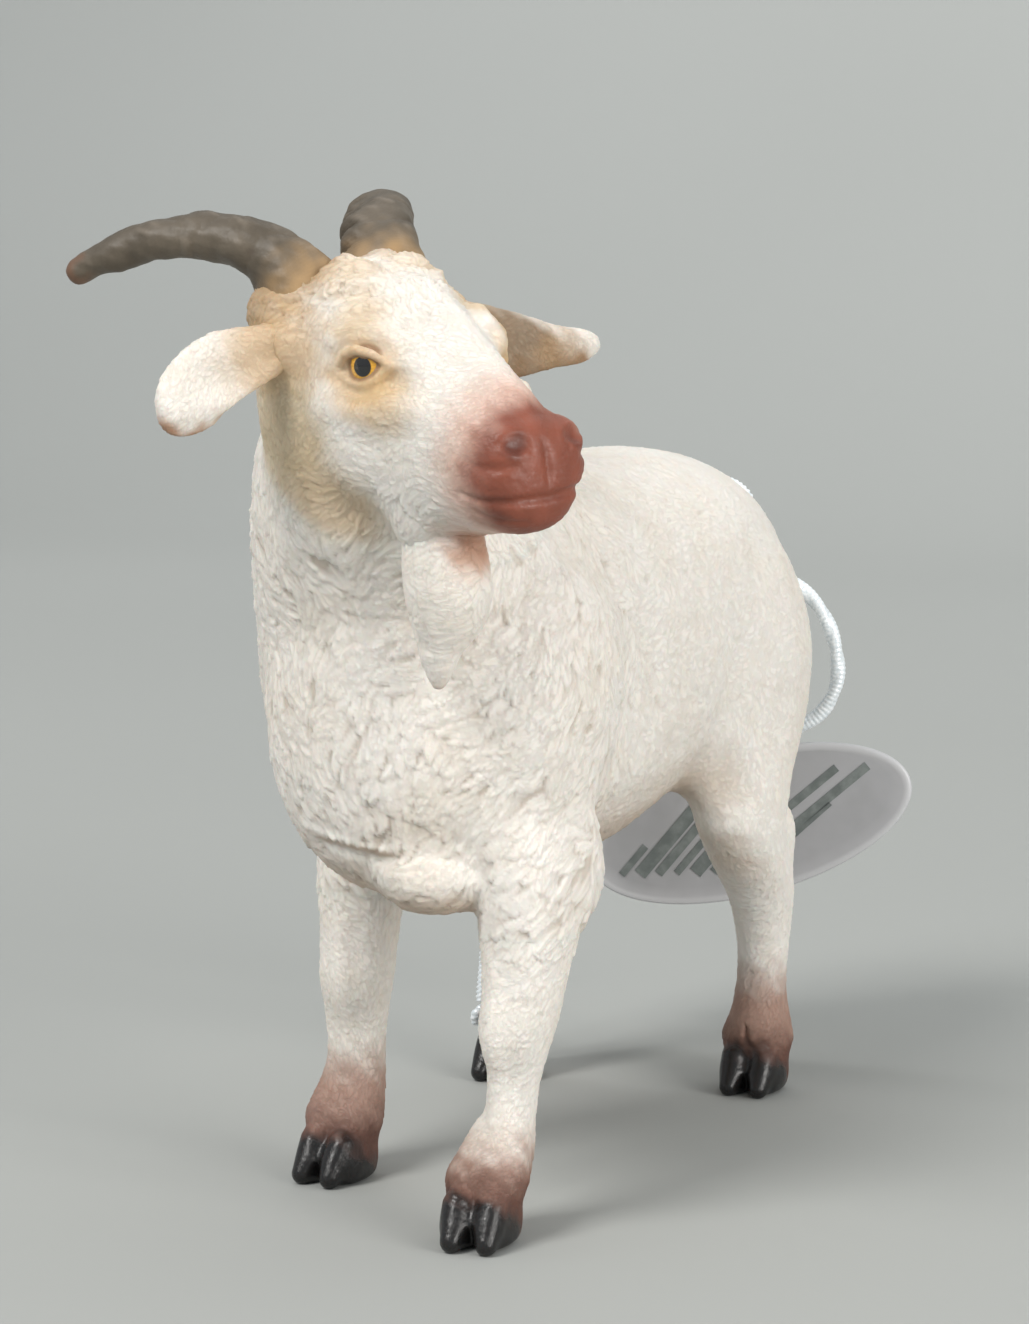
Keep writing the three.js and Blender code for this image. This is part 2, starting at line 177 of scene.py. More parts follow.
def tube_mesh(rings, closed=False):
    """Points and faces of a tube through its rings, with a centre point at each end."""
    count, sides = rings.shape[:2]
    points = list(rings.reshape(-1, 3))
    faces = []
    for i in range(count if closed else count - 1):
        a, b = i * sides, ((i + 1) % count) * sides
        for j in range(sides):
            k = (j + 1) % sides
            faces.append((a + j, a + k, b + k, b + j))
    if not closed:
        for ring, flip in ((0, False), (count - 1, True)):
            centre = len(points)
            points.append(rings[ring].mean(0))
            for j in range(sides):
                k = (j + 1) % sides
                a, b = ring * sides + j, ring * sides + k
                faces.append((a, b, centre) if flip else (b, a, centre))
    return np.array(points), faces


# ---------------------------------------------------------------- node materials
class Nodes:
    """A short way to write a Principled material's node tree."""

    def __init__(self, name):
        self.material = bpy.data.materials.new(name)
        self.material.use_nodes = True
        self.tree = self.material.node_tree
        self.shader = self.tree.nodes["Principled BSDF"]
        self.place = self.tree.nodes.new("ShaderNodeTexCoord").outputs["Object"]

    def link(self, source, socket):
        if hasattr(source, "links"):
            self.tree.links.new(source, socket)
        else:
            socket.default_value = source

    def node(self, kind, settings=(), **inputs):
        made = self.tree.nodes.new(kind)
        for key, value in dict(settings).items():
            setattr(made, key, value)
        for key, value in inputs.items():
            key = int(key[1:]) if key[0] == "i" and key[1:].isdigit() else key.replace("_", " ")
            self.link(value, made.inputs[key])
        return made.outputs[0]

    def math(self, operation, a, b):
        return self.node("ShaderNodeMath", settings={"operation": operation}, i0=a, i1=b)

    def noise(self, scale, detail, roughness, place=None):
        return self.node(
            "ShaderNodeTexNoise",
            Vector=place or self.place,
            Scale=scale,
            Detail=detail,
            Roughness=roughness,
        )

    def ramp(self, value, low, high, out_low=0.0, out_high=1.0):
        return self.node(
            "ShaderNodeMapRange",
            settings={"interpolation_type": "SMOOTHSTEP"},
            Value=value,
            i1=low,
            i2=high,
            i3=out_low,
            i4=out_high,
        )

    def mix(self, share, a, b, blend="MIX"):
        made = self.tree.nodes.new("ShaderNodeMix")
        made.data_type = "RGBA"
        made.blend_type = blend
        self.link(share, made.inputs[0])
        for socket, value in ((made.inputs[6], a), (made.inputs[7], b)):
            self.link((*value, 1.0) if isinstance(value, tuple) and len(value) == 3 else value, socket)
        return made.outputs[2]

    def attribute(self, name, output="Fac"):
        made = self.tree.nodes.new("ShaderNodeAttribute")
        made.attribute_name = name
        return made.outputs[output]

    def bump(self, height, strength, distance):
        return self.node("ShaderNodeBump", Strength=strength, Distance=distance, Height=height)

    def finish(self, color, roughness, normal, **fixed):
        self.link(color, self.shader.inputs["Base Color"])
        self.link(roughness, self.shader.inputs["Roughness"])
        self.link(normal, self.shader.inputs["Normal"])
        for key, value in fixed.items():
            self.shader.inputs[key.replace("_", " ")].default_value = value
        return self.material


def painted_material():
    """Moulded soft plastic: the airbrushed colour of each point, darker in the hollows (the figure's paint
    wash and painted shade), with a fine grain.
    """
    n = Nodes("painted_coat")
    cavity = n.attribute("cavity")
    gloss = n.attribute("gloss")
    mottle = n.noise(420.0, 4.0, 0.6)
    broad = n.noise(90.0, 3.0, 0.5)
    paint = n.attribute("paint", "Color")
    # darker between the hair locks: partly the figure's paint wash, partly painted shade
    groove_wash_and_shade = n.mix(n.ramp(cavity, 0.1, 1.0, 0.0, 0.7), paint, (0.5, 0.41, 0.33), "MULTIPLY")
    warm = n.mix(n.ramp(broad, 0.35, 0.75, 0.0, 0.3), groove_wash_and_shade, (0.9, 0.82, 0.7), "MULTIPLY")
    speckle = n.mix(n.ramp(mottle, 0.42, 0.66, 0.0, 0.16), warm, (0.8, 0.73, 0.64), "MULTIPLY")
    grain = n.noise(2600.0, 3.0, 0.6)
    pore = n.noise(900.0, 3.0, 0.5)
    strands = n.noise(1.0, 3.0, 0.6, place=n.attribute("lock", "Vector"))
    height = n.math("ADD", n.math("MULTIPLY", grain, 0.25), n.math("MULTIPLY", pore, 0.5))
    height = n.math("ADD", height, n.math("MULTIPLY", strands, n.ramp(gloss, 0.0, 0.6, 0.9, 0.1)))
    dull = n.math("ADD", n.ramp(gloss, 0.0, 1.0, 0.56, 0.2), n.math("MULTIPLY", mottle, 0.1))
    normal = n.bump(height, 0.5, 0.0002)
    return n.finish(
        speckle,
        dull,
        normal,
        Subsurface_Weight=0.12,
        Subsurface_Scale=0.0012,
        Specular_IOR_Level=0.42,
    )


def horn_material():
    """Grey-brown horn paint with a grain along the horn, worn pale on the proud places."""
    n = Nodes("horn_paint")
    cavity = n.attribute("cavity")
    base = n.mix(n.ramp(n.noise(260.0, 5.0, 0.62), 0.3, 0.7), (0.082, 0.066, 0.047), (0.128, 0.104, 0.076))
    worn = n.mix(n.ramp(cavity, -0.9, -0.1, 0.25, 0.0), base, (0.36, 0.3, 0.24))
    dark = n.mix(n.ramp(cavity, 0.2, 1.0, 0.0, 0.5), worn, (0.06, 0.042, 0.03))
    tip = n.mix(n.attribute("tip"), dark, (0.16, 0.09, 0.055))
    blend = n.mix(n.attribute("root"), tip, (0.42, 0.27, 0.13))
    grain = n.noise(1500.0, 4.0, 0.6)
    normal = n.bump(grain, 0.4, 0.00015)
    rough = n.math("ADD", n.math("MULTIPLY", grain, 0.2), 0.4)
    return n.finish(blend, rough, normal, Specular_IOR_Level=0.4)


def eye_material():
    """Glossy eye paint with a clear coat and a trace of brush texture."""
    n = Nodes("eye_paint")
    streak = n.noise(1800.0, 3.0, 0.6)
    paint = n.attribute("paint", "Color")
    color = n.mix(n.ramp(streak, 0.4, 0.7, 0.0, 0.25), paint, (0.7, 0.5, 0.3), "MULTIPLY")
    rough = n.math("ADD", n.math("MULTIPLY", streak, 0.08), 0.14)
    return n.finish(color, rough, n.bump(streak, 0.08, 0.00003), Coat_Weight=0.6, Coat_Roughness=0.06)


def satin_material():
    """Silvery white satin, brighter along the crown of each ply."""
    n = Nodes("satin_cord")
    strand = n.noise(3200.0, 2.0, 0.5)
    color = n.mix(n.ramp(strand, 0.3, 0.7), (0.74, 0.81, 0.85), (0.95, 0.98, 1.0))
    rough = n.math("ADD", n.math("MULTIPLY", strand, 0.2), 0.22)
    normal = n.bump(strand, 0.3, 0.00008)
    return n.finish(color, rough, normal, Sheen_Weight=0.5, Sheen_Roughness=0.35, Metallic=0.15)


def film_material():
    """Thin grey film, a little cloudy, with a satin surface."""
    n = Nodes("tag_film")
    cloud = n.noise(160.0, 3.0, 0.5)
    body = n.mix(n.ramp(cloud, 0.3, 0.7), (0.385, 0.385, 0.395), (0.45, 0.45, 0.465))
    color = n.mix(n.attribute("rim"), body, (0.62, 0.62, 0.635))
    rough = n.math("ADD", n.math("MULTIPLY", n.noise(1200.0, 2.0, 0.5), 0.12), 0.28)
    normal = n.bump(n.noise(500.0, 2.0, 0.5), 0.12, 0.0001)
    return n.finish(color, rough, normal, Specular_IOR_Level=0.5)


def stripe_material():
    """Dark green-grey printed stripes, a little uneven."""
    n = Nodes("tag_stripes")
    patch = n.noise(700.0, 3.0, 0.6)
    color = n.mix(n.ramp(patch, 0.3, 0.75), (0.15, 0.17, 0.165), (0.24, 0.265, 0.255))
    rough = n.math("ADD", n.math("MULTIPLY", patch, 0.2), 0.35)
    return n.finish(color, rough, n.bump(patch, 0.1, 0.00005))


# ---------------------------------------------------------------- cords
CARD_ALONG = np.array([math.cos(math.radians(CARD_TURN)), math.sin(math.radians(CARD_TURN)), 0.0])
CORD_LOOP_MIDDLE = np.array([1.9, 48.4, 0.0])
# [towards the goat's left along the card, up]
CORD_LOOP = [
    (1.1, 50.3),
    (3.4, 49.6),
    (6.2, 48.2),
    (8.7, 45.6),
    (10.1, 42.2),
    (10.4, 38.6),
    (9.3, 35.7),
    (7.0, 33.7),
    (4.0, 32.8),
    (1.35, 32.6),
    (-1.5, 33.0),
    (-4.4, 34.4),
    (-6.6, 36.8),
    (-7.7, 39.8),
    (-7.9, 43.0),
    (-6.8, 46.3),
    (-5.0, 48.7),
    (-3.1, 50.1),
]
CORD_END = [
    (-2.8, 44.6, 58.4),
    (-3.6, 43.0, 58.2),
    (-4.9, 41.0, 58.4),
    (-6.8, 38.3, 59.7),
    (-9.1, 34.8, 59.8),
    (-11.8, 31.8, 58.0),
    (-14.1, 29.6, 54.5),
    (-15.5, 28.3, 49.3),
    (-16.2, 27.5, 43.6),
    (-16.7, 27.2, 38.0),
    (-16.9, 27.3, 31.5),
    (-17.0, 27.6, 25.0),
    (-17.1, 27.8, 18.5),
    (-17.3, 27.7, 12.0),
    (-17.6, 27.4, 6.6),
]
PLY_PITCH = 1.5


def cord_piece(name, route, material, plies, pitch, depth):
    """A twisted satin cord along a route, and the points it follows in the row frame."""
    path = smooth_curve(route, 0.1)
    rings = rings_along(path, CORD_DIAMETER / 2, 20, plies, pitch, depth)
    points, faces = tube_mesh(rings)
    return make_object(name, row(points), faces, material), row(path)


def knot_lump(name, centre, size, material, seed):
    """A tight overhand knot: three turns of the cord wound over each other."""
    rng = np.random.default_rng(seed)
    t = np.linspace(0, 2 * math.pi, 150, endpoint=False)
    a, b, c = np.asarray(size) - CORD_DIAMETER * 0.3
    knot = np.stack(
        [
            a * 0.42 * (np.sin(t) + 1.1 * np.sin(2 * t)),
            b * 0.42 * (np.cos(t) - 1.1 * np.cos(2 * t)),
            -c * 0.62 * np.sin(3 * t),
        ],
        axis=1,
    )
    tilt = turned("X", rng.uniform(-25, 25)) @ turned("Z", rng.uniform(0, 90))
    rings = rings_along(centre + knot @ tilt.T, CORD_DIAMETER * 0.36, 14, 3, PLY_PITCH, 0.2, closed=True)
    points, faces = tube_mesh(rings, closed=True)
    return make_object(name, row(points), faces, material)


satin = satin_material()
film = film_material()
stripes = stripe_material()

loop_route = [CORD_LOOP_MIDDLE + a * CARD_ALONG + np.array([0, 0, up]) for a, up in CORD_LOOP]
tag_cord, tag_cord_path = cord_piece("tag_cord_twist", loop_route, satin, 2, 9.0, 0.24)
spare_cord, spare_cord_path = cord_piece("spare_cord_twist", CORD_END, satin, 3, PLY_PITCH, 0.22)

turn = np.linspace(0, 2 * math.pi, 170, endpoint=False)
hitch_path = HITCH_PLACE + np.stack(
    [HITCH_REACH[0] * np.cos(turn), 0.5 * np.sin(turn), HITCH_REACH[1] * np.sin(turn)], axis=1
)
hitch_rings = rings_along(hitch_path, HITCH_CORD_RADIUS, 16, 3, PLY_PITCH, 0.2, closed=True)
hitch_points, hitch_faces = tube_mesh(hitch_rings, True)
hitch = make_object("tail_hitch_turn", row(hitch_points), hitch_faces, satin)
hitch_knot = knot_lump("tail_hitch_knot", HITCH_KNOT_PLACE, (2.0, 2.0, 1.8), satin, 3)
end_knot = knot_lump("spare_cord_end_knot", END_KNOT_PLACE, (1.25, 1.25, 1.35), satin, 5)

TAG_TURN = turned("Z", CARD_TURN) @ turned("X", 90)
tie_angle = np.linspace(0, 2 * math.pi, 130, endpoint=False)
tie_local = np.stack(
    [np.zeros_like(tie_angle), TIE_RADIUS * (1 + np.cos(tie_angle)), TIE_RADIUS * np.sin(tie_angle)], axis=1
)
tie_path = CARD_HOLE + tie_local @ TAG_TURN.T
tie_rings = rings_along(tie_path, TIE_CORD_RADIUS * 0.97, 14, 3, 1.3, 0.18, closed=True)
tie_points, tie_faces = tube_mesh(tie_rings, True)
tie = make_object("tag_tie_twist", row(tie_points), tie_faces, satin)

for piece, body, nodes in (
    (tag_cord, "figure", ["tag_cord"]),
    (spare_cord, "figure", ["spare_cord"]),
    (hitch, "figure", ["tail_hitch"]),
    (hitch_knot, "figure", []),
    (end_knot, "figure", ["spare_cord_knot"]),
    (tie, "tie", ["tag_tie"]),
):
    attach(piece, body)
    if nodes:
        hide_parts(*nodes)


# ---------------------------------------------------------------- swing tag
def tag_points(flat, depth):
    """Points of the tag's own frame (along, up, towards the goat) in the row frame."""
    local = np.column_stack([flat, np.full(len(flat), depth)])
    return row(CARD_HOLE + local @ TAG_TURN.T)


def card_outline(count, shrink=0.0):
    """The leaf-shaped edge of the card."""
    angles = np.linspace(0, 2 * math.pi, count, endpoint=False)
    half_length, half_height = CARD_HALF_LENGTH - shrink, CARD_HALF_HEIGHT - shrink
    leaf = np.column_stack([half_length * np.cos(angles), half_height * np.sin(angles)])
    rise = turned("Z", CARD_RISE)[:2, :2]
    return leaf @ rise.T + np.array([0.0, -CARD_MIDDLE_BELOW_HOLE])


def make_card():
    """The card as one closed plate: a rounded rim, a raised border and a bevelled hole."""
    count = 240
    reach = np.linalg.norm(card_outline(count), axis=1)[:, None]
    rays = card_outline(count) / reach
    layers = [
        (0.9, 0.28),
        (0.6, 0.35),
        (0.25, 0.35),
        (0.05, 0.26),
        (0.0, 0.1),
        (0.0, -0.1),
        (0.05, -0.26),
        (0.25, -0.35),
        (0.6, -0.35),
        (0.9, -0.28),
    ]
    edge = [(card_outline(count, s), d) for s, d in layers]
    hole = [(rays * r, d) for r, d in ((1.62, -0.28), (1.5, -0.2), (1.5, 0.2), (1.62, 0.28))]
    inner = rays * (reach - np.minimum(2.2, 0.95 * (reach - 1.62)))
    middle = 0.5 * (rays * 1.62 + inner)
    loops = edge + [(inner, -0.28), (middle, -0.28)] + hole + [(middle, 0.28), (inner, 0.28)]
    points = np.vstack([tag_points(flat, depth) for flat, depth in loops])
    faces = []
    for i in range(len(loops)):
        a, b = i * count, ((i + 1) % len(loops)) * count
        for j in range(count):
            k = (j + 1) % count
            faces.append((b + j, b + k, a + k, a + j))
    plate = make_object("tag_card_plate", points, faces, film)
    pale = [0.3, 0.8, 1.0, 0.8, 0.6, 0.6, 0.8, 1.0, 0.8, 0.3] + [0.0, 0.0] + [0.5] * len(hole) + [0.0, 0.0]
    set_values(plate, "rim", np.repeat(pale, count))
    return plate


# each stripe: where it starts (along, up), length, width and angle
STRIPES = [
    (-13.4 + 1.95 * i, -10.7 + 0.12 * i, (4.0, 9.6, 8.6, 5.4, 7.6, 5.0)[i], (0.75, 1.4, 0.95)[i % 3], 51.0)
    for i in range(6)
]
STRIPES += [(3.0, -7.6, 7.5, 0.5, 43.0), (4.6, -5.1, 10.2, 0.95, 41.0), (3.8, -3.3, 7.0, 0.85, 41.0)]


def make_stripes():
    """Plain stripes of different widths, standing just proud of the card, in two groups."""
    points, faces = [], []
    for x, y, length, width, angle in STRIPES:
        corners = np.array([(0, -width / 2), (length, -width / 2), (length, width / 2), (0, width / 2)])
        corners = (x, y) + corners @ turned("Z", angle)[:2, :2].T
        start = len(points)
        points += list(tag_points(corners, 0.29)) + list(tag_points(corners, 0.37))
        faces += [tuple(start + i for i in (3, 2, 1, 0)), tuple(start + i for i in (4, 5, 6, 7))]
        faces += [tuple(start + i for i in (j, (j + 1) % 4, 4 + (j + 1) % 4, 4 + j)) for j in range(4)]
    return make_object("tag_stripes", points, faces, stripes, smooth=False)


card = make_card()
bars = make_stripes()
for piece, node, slot in ((card, "tag_card", "tag_film"), (bars, "tag_label", "tag_print")):
    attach(piece, "tag")
    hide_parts(node)


# ---------------------------------------------------------------- clay: shapes as distance values
FAR = 6.0
HEAD_AXES = turned("Z", HEAD_TURN) @ turned("Y", -HEAD_LEAN)
# the seam between head and body in the head's frame: its middle, and the way to the body
NECK_MIDDLE = np.array([0.0, 5.5, -9.0])
NECK_SIDE = np.array([0.0, 0.62, -0.78])


def from_head(points):
    """Head-frame points (muzzle along -Y) in the figure's frame."""
    return np.asarray(points, float) @ HEAD_AXES.T + HEAD_PLACE


def to_head(points):
    return (np.asarray(points, float) - HEAD_PLACE) @ HEAD_AXES


def soft_min(a, b, reach):
    """The lower of two distances, with the crease between them filled over reach mm."""
    h = np.clip(1.0 - np.abs(a - b) / reach, 0.0, 1.0)
    return np.minimum(a, b) - h * h * reach * 0.25


def blur(values, sigma):
    """A Gaussian blur along each axis, sigma in voxels."""
    half = int(math.ceil(2.5 * sigma))
    weights = np.exp(-0.5 * (np.arange(-half, half + 1) / sigma) ** 2)
    weights /= weights.sum()
    for axis in range(3):
        padded = np.pad(values, [(half, half) if a == axis else (0, 0) for a in range(3)], mode="edge")
        values = sum(
            w * np.take(padded, range(i, i + values.shape[axis]), axis=axis)
            for i, w in enumerate(weights.astype(np.float32))
        )
    return values


class Clay:
    """A block of distances in mm, negative inside, that shapes are added to and cut from."""

    def __init__(self, low, high, voxel):
        self.voxel = voxel
        self.low = np.floor(np.asarray(low) / voxel).astype(int)
        self.count = np.ceil(np.asarray(high) / voxel).astype(int) - self.low + 1
        self.values = np.full(self.count, FAR, np.float32)

    def node(self, name, reach, soften):
        """Adds a CAD node of the frame, with its flat faces blurred away over soften mm."""
        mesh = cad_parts[name].data
        mesh.calc_loop_triangles()
        points = np.array([v.co for v in mesh.vertices], np.float32) * 1000 - FIGURE_SHIFT.astype(np.float32)
        margin = FAR
        low, high = points.min(0) - margin, points.max(0) + margin
        block_low = self.low * self.voxel
        block_high = (self.low + self.count - 1) * self.voxel
        if (low > block_high).any() or (high < block_low).any():
            return
        corners = np.array([t.vertices[:] for t in mesh.loop_triangles], np.uint32)
        grid = openvdb.FloatGrid.createLevelSetFromPolygons(
            points,
            triangles=corners,
            transform=openvdb.createLinearTransform(voxelSize=self.voxel),
            halfWidth=margin / self.voxel,
        )
        first = np.maximum(np.floor(low / self.voxel).astype(int), self.low)
        last = np.minimum(np.ceil(high / self.voxel).astype(int), self.low + self.count - 1)
        part = np.empty(last - first + 1, np.float32)
        grid.copyToArray(part, ijk=tuple(int(v) for v in first))
        if soften > 0:
            part = blur(part, soften / self.voxel)
        spot = tuple(slice(a, b) for a, b in zip(first - self.low, last - self.low + 1))
        self.values[spot] = soft_min(self.values[spot], part, reach)

    def near(self, low, high):
        """The part of the block between two corners, and the points of its voxels."""
        first = np.maximum(np.floor(np.asarray(low) / self.voxel).astype(int), self.low)
        last = np.minimum(np.ceil(np.asarray(high) / self.voxel).astype(int), self.low + self.count - 1)
        if (last < first).any():
            return None, None
        axes = [np.arange(a, b + 1) * self.voxel for a, b in zip(first, last)]
        grid = np.stack(np.meshgrid(*axes, indexing="ij"), axis=-1)
        return tuple(slice(a, b) for a, b in zip(first - self.low, last - self.low + 1)), grid

    def press(self, spot, distance, reach, carve):
        here = self.values[spot]
        if carve:
            self.values[spot] = -soft_min(-here, distance, reach)
        else:
            self.values[spot] = soft_min(here, distance, reach)

    def ball(self, centre, radii, reach, axes=np.eye(3), carve=False):
        """Adds or carves an ellipsoid whose own axes are the columns of axes."""
        size = np.max(radii) + reach + 0.5
        spot, grid = self.near(np.asarray(centre) - size, np.asarray(centre) + size)
        if spot is None:
            return
        p = (grid - centre) @ axes
        k0 = np.linalg.norm(p / radii, axis=-1)
        k1 = np.linalg.norm(p / np.square(radii), axis=-1)
        self.press(spot, (k0 * (k0 - 1.0) / np.maximum(k1, 1e-6)).astype(np.float32), reach, carve)

    def stroke(self, route, radii, reach, carve=False):
        """Adds or carves a rounded stroke through points, with a radius at each."""
        route = np.asarray(route, float)
        radii = np.broadcast_to(radii, len(route))
        size = np.max(radii) + reach + 0.5
        spot, grid = self.near(route.min(0) - size, route.max(0) + size)
        if spot is None:
            return
        best = np.full(grid.shape[:3], FAR)
        for a, b, ra, rb in zip(route[:-1], route[1:], radii[:-1], radii[1:]):
            t = np.clip(((grid - a) @ (b - a)) / max((b - a) @ (b - a), 1e-9), 0, 1)
            near = np.linalg.norm(grid - a - t[..., None] * (b - a), axis=-1)
            best = np.minimum(best, near - (ra + (rb - ra) * t))
        self.press(spot, best.astype(np.float32), reach, carve)

    def depth(self, points):
        """The distance value at each point, read between the voxels."""
        place = np.asarray(points) / self.voxel - self.low
        base = np.clip(np.floor(place).astype(int), 0, self.count - 2)
        part = np.clip(place - base, 0, 1)
        total = np.zeros(len(place))
        for corner in np.ndindex(2, 2, 2):
            i, j, k = (base + corner).T
            weight = np.prod(np.where(corner, part, 1 - part), axis=1)
            total += weight * self.values[i, j, k]
        return total

    def outward(self, points):
        """The steepest way out at each point."""
        sides = 0.4 * np.eye(3)
        return unit(np.stack([self.depth(points + d) - self.depth(points - d) for d in sides], axis=1))

    def onto_surface(self, points):
        """Points moved along the steepest way until they lie on the surface."""
        for _ in range(5):
            points = points - np.clip(self.depth(points), -0.6, 0.6)[:, None] * self.outward(points)
        return points

    def crease(self, route, radius, reach=0.3, lift=0.35, carve=True):
        """A groove, or a ridge, of even depth along a route laid on the surface, thin at both ends."""
        path = smooth_curve(np.asarray(route, float), 0.5)
        low, high = self.low * self.voxel, (self.low + self.count - 1) * self.voxel
        if (path.max(0) < low + 1).any() or (path.min(0) > high - 1).any():
            return
        path = self.onto_surface(path)
        away = self.outward(path) * radius * lift * (1 if carve else -1)
        taper = np.sqrt(np.clip(np.sin(np.linspace(0.08, math.pi - 0.08, len(path))), 0, 1))
        self.stroke(path + away, radius * taper, reach, carve)

    def surface(self):
        """Points and four-sided faces of the surface, in mm."""
        grid = openvdb.FloatGrid(FAR)
        grid.copyFromArray(np.ascontiguousarray(self.values), ijk=tuple(int(v) for v in self.low))
        points, quads = grid.convertToQuads(isovalue=0.0)
        return np.asarray(points, float) * self.voxel, np.asarray(quads)


def both_sides(points):
    """A route or centre on the goat's right side of the head, and its mirror image."""
    points = np.atleast_2d(np.asarray(points, float))
    return points, points * [-1, 1, 1]


# ---------------------------------------------------------------- the goat's anatomy
LEG_TOP = 25.6
FIGURE_NODES = {
    "torso": (0.5, 0.9),
    "front_left_leg": (3.2, 0.5),
    "front_right_leg": (3.2, 0.5),
    "rear_left_leg": (4.5, 0.5),
    "rear_right_leg": (4.5, 0.5),
    "tail": (1.5, 0.4),
    "head": (2.2, 0.5),
}
# each: centre, radii, blend; on the body in the figure's frame
BODY_SWELLS = [
    ((11.6, -20.5, 45.0), (4.2, 7.5, 9.5), 4.0),
    ((-11.6, -14.5, 45.0), (4.2, 7.5, 9.5), 4.0),
    ((11.2, 27.0, 43.5), (4.6, 9.5, 9.5), 4.0),
    ((-11.2, 27.0, 43.5), (4.6, 9.5, 9.5), 4.0),
    ((3.6, -27.0, 30.4), (4.4, 5.0, 3.2), 2.0),
    ((13.0, -21.0, 30.5), (2.6, 3.4, 4.4), 2.5),
    ((-12.4, -8.4, 30.5), (2.4, 3.4, 4.4), 2.5),
    ((12.7, 29.8, 25.6), (2.2, 2.6, 3.6), 2.6),
    ((-10.8, 31.6, 25.6), (2.2, 2.6, 3.6), 2.6),
]
BODY_HOLLOWS = [
    ((15.0, 15.0, 33.0), (1.7, 2.8, 2.6), 2.2),
    ((-14.8, 15.6, 33.0), (1.7, 2.8, 2.6), 2.2),
    ((15.6, -9.0, 41.0), (2.0, 5.0, 8.0), 3.0),
    ((-15.6, -3.0, 41.0), (2.0, 5.0, 8.0), 3.0),
]
# each: the middle of the hoof on the floor, and how far its toes turn out in degrees
HOOVES = {
    "front_left": ((9.05, -29.9), 8.0),
    "front_right": ((-11.1, -16.9), -9.0),
    "rear_left": ((11.3, 29.0), 3.0),
    "rear_right": ((-13.0, 24.0), -5.0),
}


def sculpt_body(clay):
    for centre, radii, reach in BODY_SWELLS:
        clay.ball(centre, radii, reach)
    for centre, radii, reach in BODY_HOLLOWS:
        clay.ball(centre, radii, reach, carve=True)
    # the mould line under the chest and the flap under the belly
    ridge = [(-7.0, -29.6, 34.6), (-1.8, -31.2, 33.4), (3.0, -30.6, 32.6), (7.4, -28.6, 31.8)]
    clay.crease(ridge, 0.32, 0.3, 0.3, False)
    groove = [(-5.0, -29.6, 33.4), (-1.8, -30.8, 32.5), (3.0, -30.0, 31.7), (7.0, -28.2, 31.1)]
    clay.crease(groove, 0.36, 0.8, 0.35)
    clay.crease([(-2.0, -25.5, 28.6), (2.6, -24.6, 27.6), (6.4, -23.2, 28.6)], 0.5, 0.9, 0.2)
    clay.stroke([(0.2, -4.0, 29.0), (0.6, -0.5, 27.9), (0.3, 4.0, 28.4)], (0.7, 1.2, 0.7), 1.2)


def sculpt_leg(clay, name):
    """Knee, shin ridge, fetlocks, dewclaws and the two pointed claws of the hoof."""
    (x, y), splay = HOOVES[name]
    front = name.startswith("front")
    if front:
        clay.ball((x * 0.35 + math.copysign(7.2, x), y + 2.2, 17.6), (1.9, 1.5, 2.4), 1.6)
        knee = np.array([x * 0.4 + math.copysign(6.6, x), y + 2.0, 23.0])
        ankle = np.array([x * 0.7 + math.copysign(3.2, x), y + 1.3, 10.0])
        shin = 0.5 * (knee + ankle) + (0, -0.4, 0)
        clay.crease([knee, shin, ankle], 0.5, 1.2, 0.55, False)
    back = y + (4.4 if front else 3.4)
    toe = turned("Z", splay)

    def at(*points):
        return np.array(points) @ toe.T + (x, y, 0)

    for side in (-1, 1):
        clay.stroke([(x + side * 0.8, back - 1.6, 8.4), (x + side * 1.5, y + 1.0, 5.2)], (1.2, 1.9), 1.4)
        clay.ball((x + side * 1.25, back, 5.6), (0.75, 0.8, 1.0), 0.5)
        clay.ball(at((side * 4.3, -4.6, 1.2))[0], (1.35, 3.0, 4.0), 0.9, toe, carve=True)
        clay.stroke(at((side * 1.5, -3.4, 0.9), (side * 1.5, -1.6, 3.6)), (0.95, 1.2), 0.8)
    clay.stroke(at((0.0, -1.9, 1.5), (0.0, 2.0, 1.5)), 1.4, 1.2)
    clay.ball(at((0.0, -5.4, 0.2))[0], (0.6, 3.2, 3.2), 0.5, toe, carve=True)
    clay.stroke(at((0.0, -3.2, 3.0), (0.0, -2.5, 5.4), (0.0, -2.3, 7.0)), (0.4, 0.26, 0.1), 0.5, carve=True)
    clay.stroke(at((0.0, 3.4, -0.5), (0.0, 3.4, 2.4)), (0.45, 0.3), 0.35, carve=True)
    clay.stroke(at((0.0, -3.4, -0.3), (0.0, 3.0, -0.3)), 0.55, 0.3, carve=True)
    angles = np.linspace(-1.5, 1.5, 9)
    ring = [(3.9 * math.sin(a), -4.2 * math.cos(a), 5.4 - 0.5 * math.cos(a)) for a in angles]
    clay.crease(at(*ring), 0.12, 0.2, 0.2)


EYE = np.array([-5.35, -6.1, 0.65])
EYE_RADIUS = 1.78


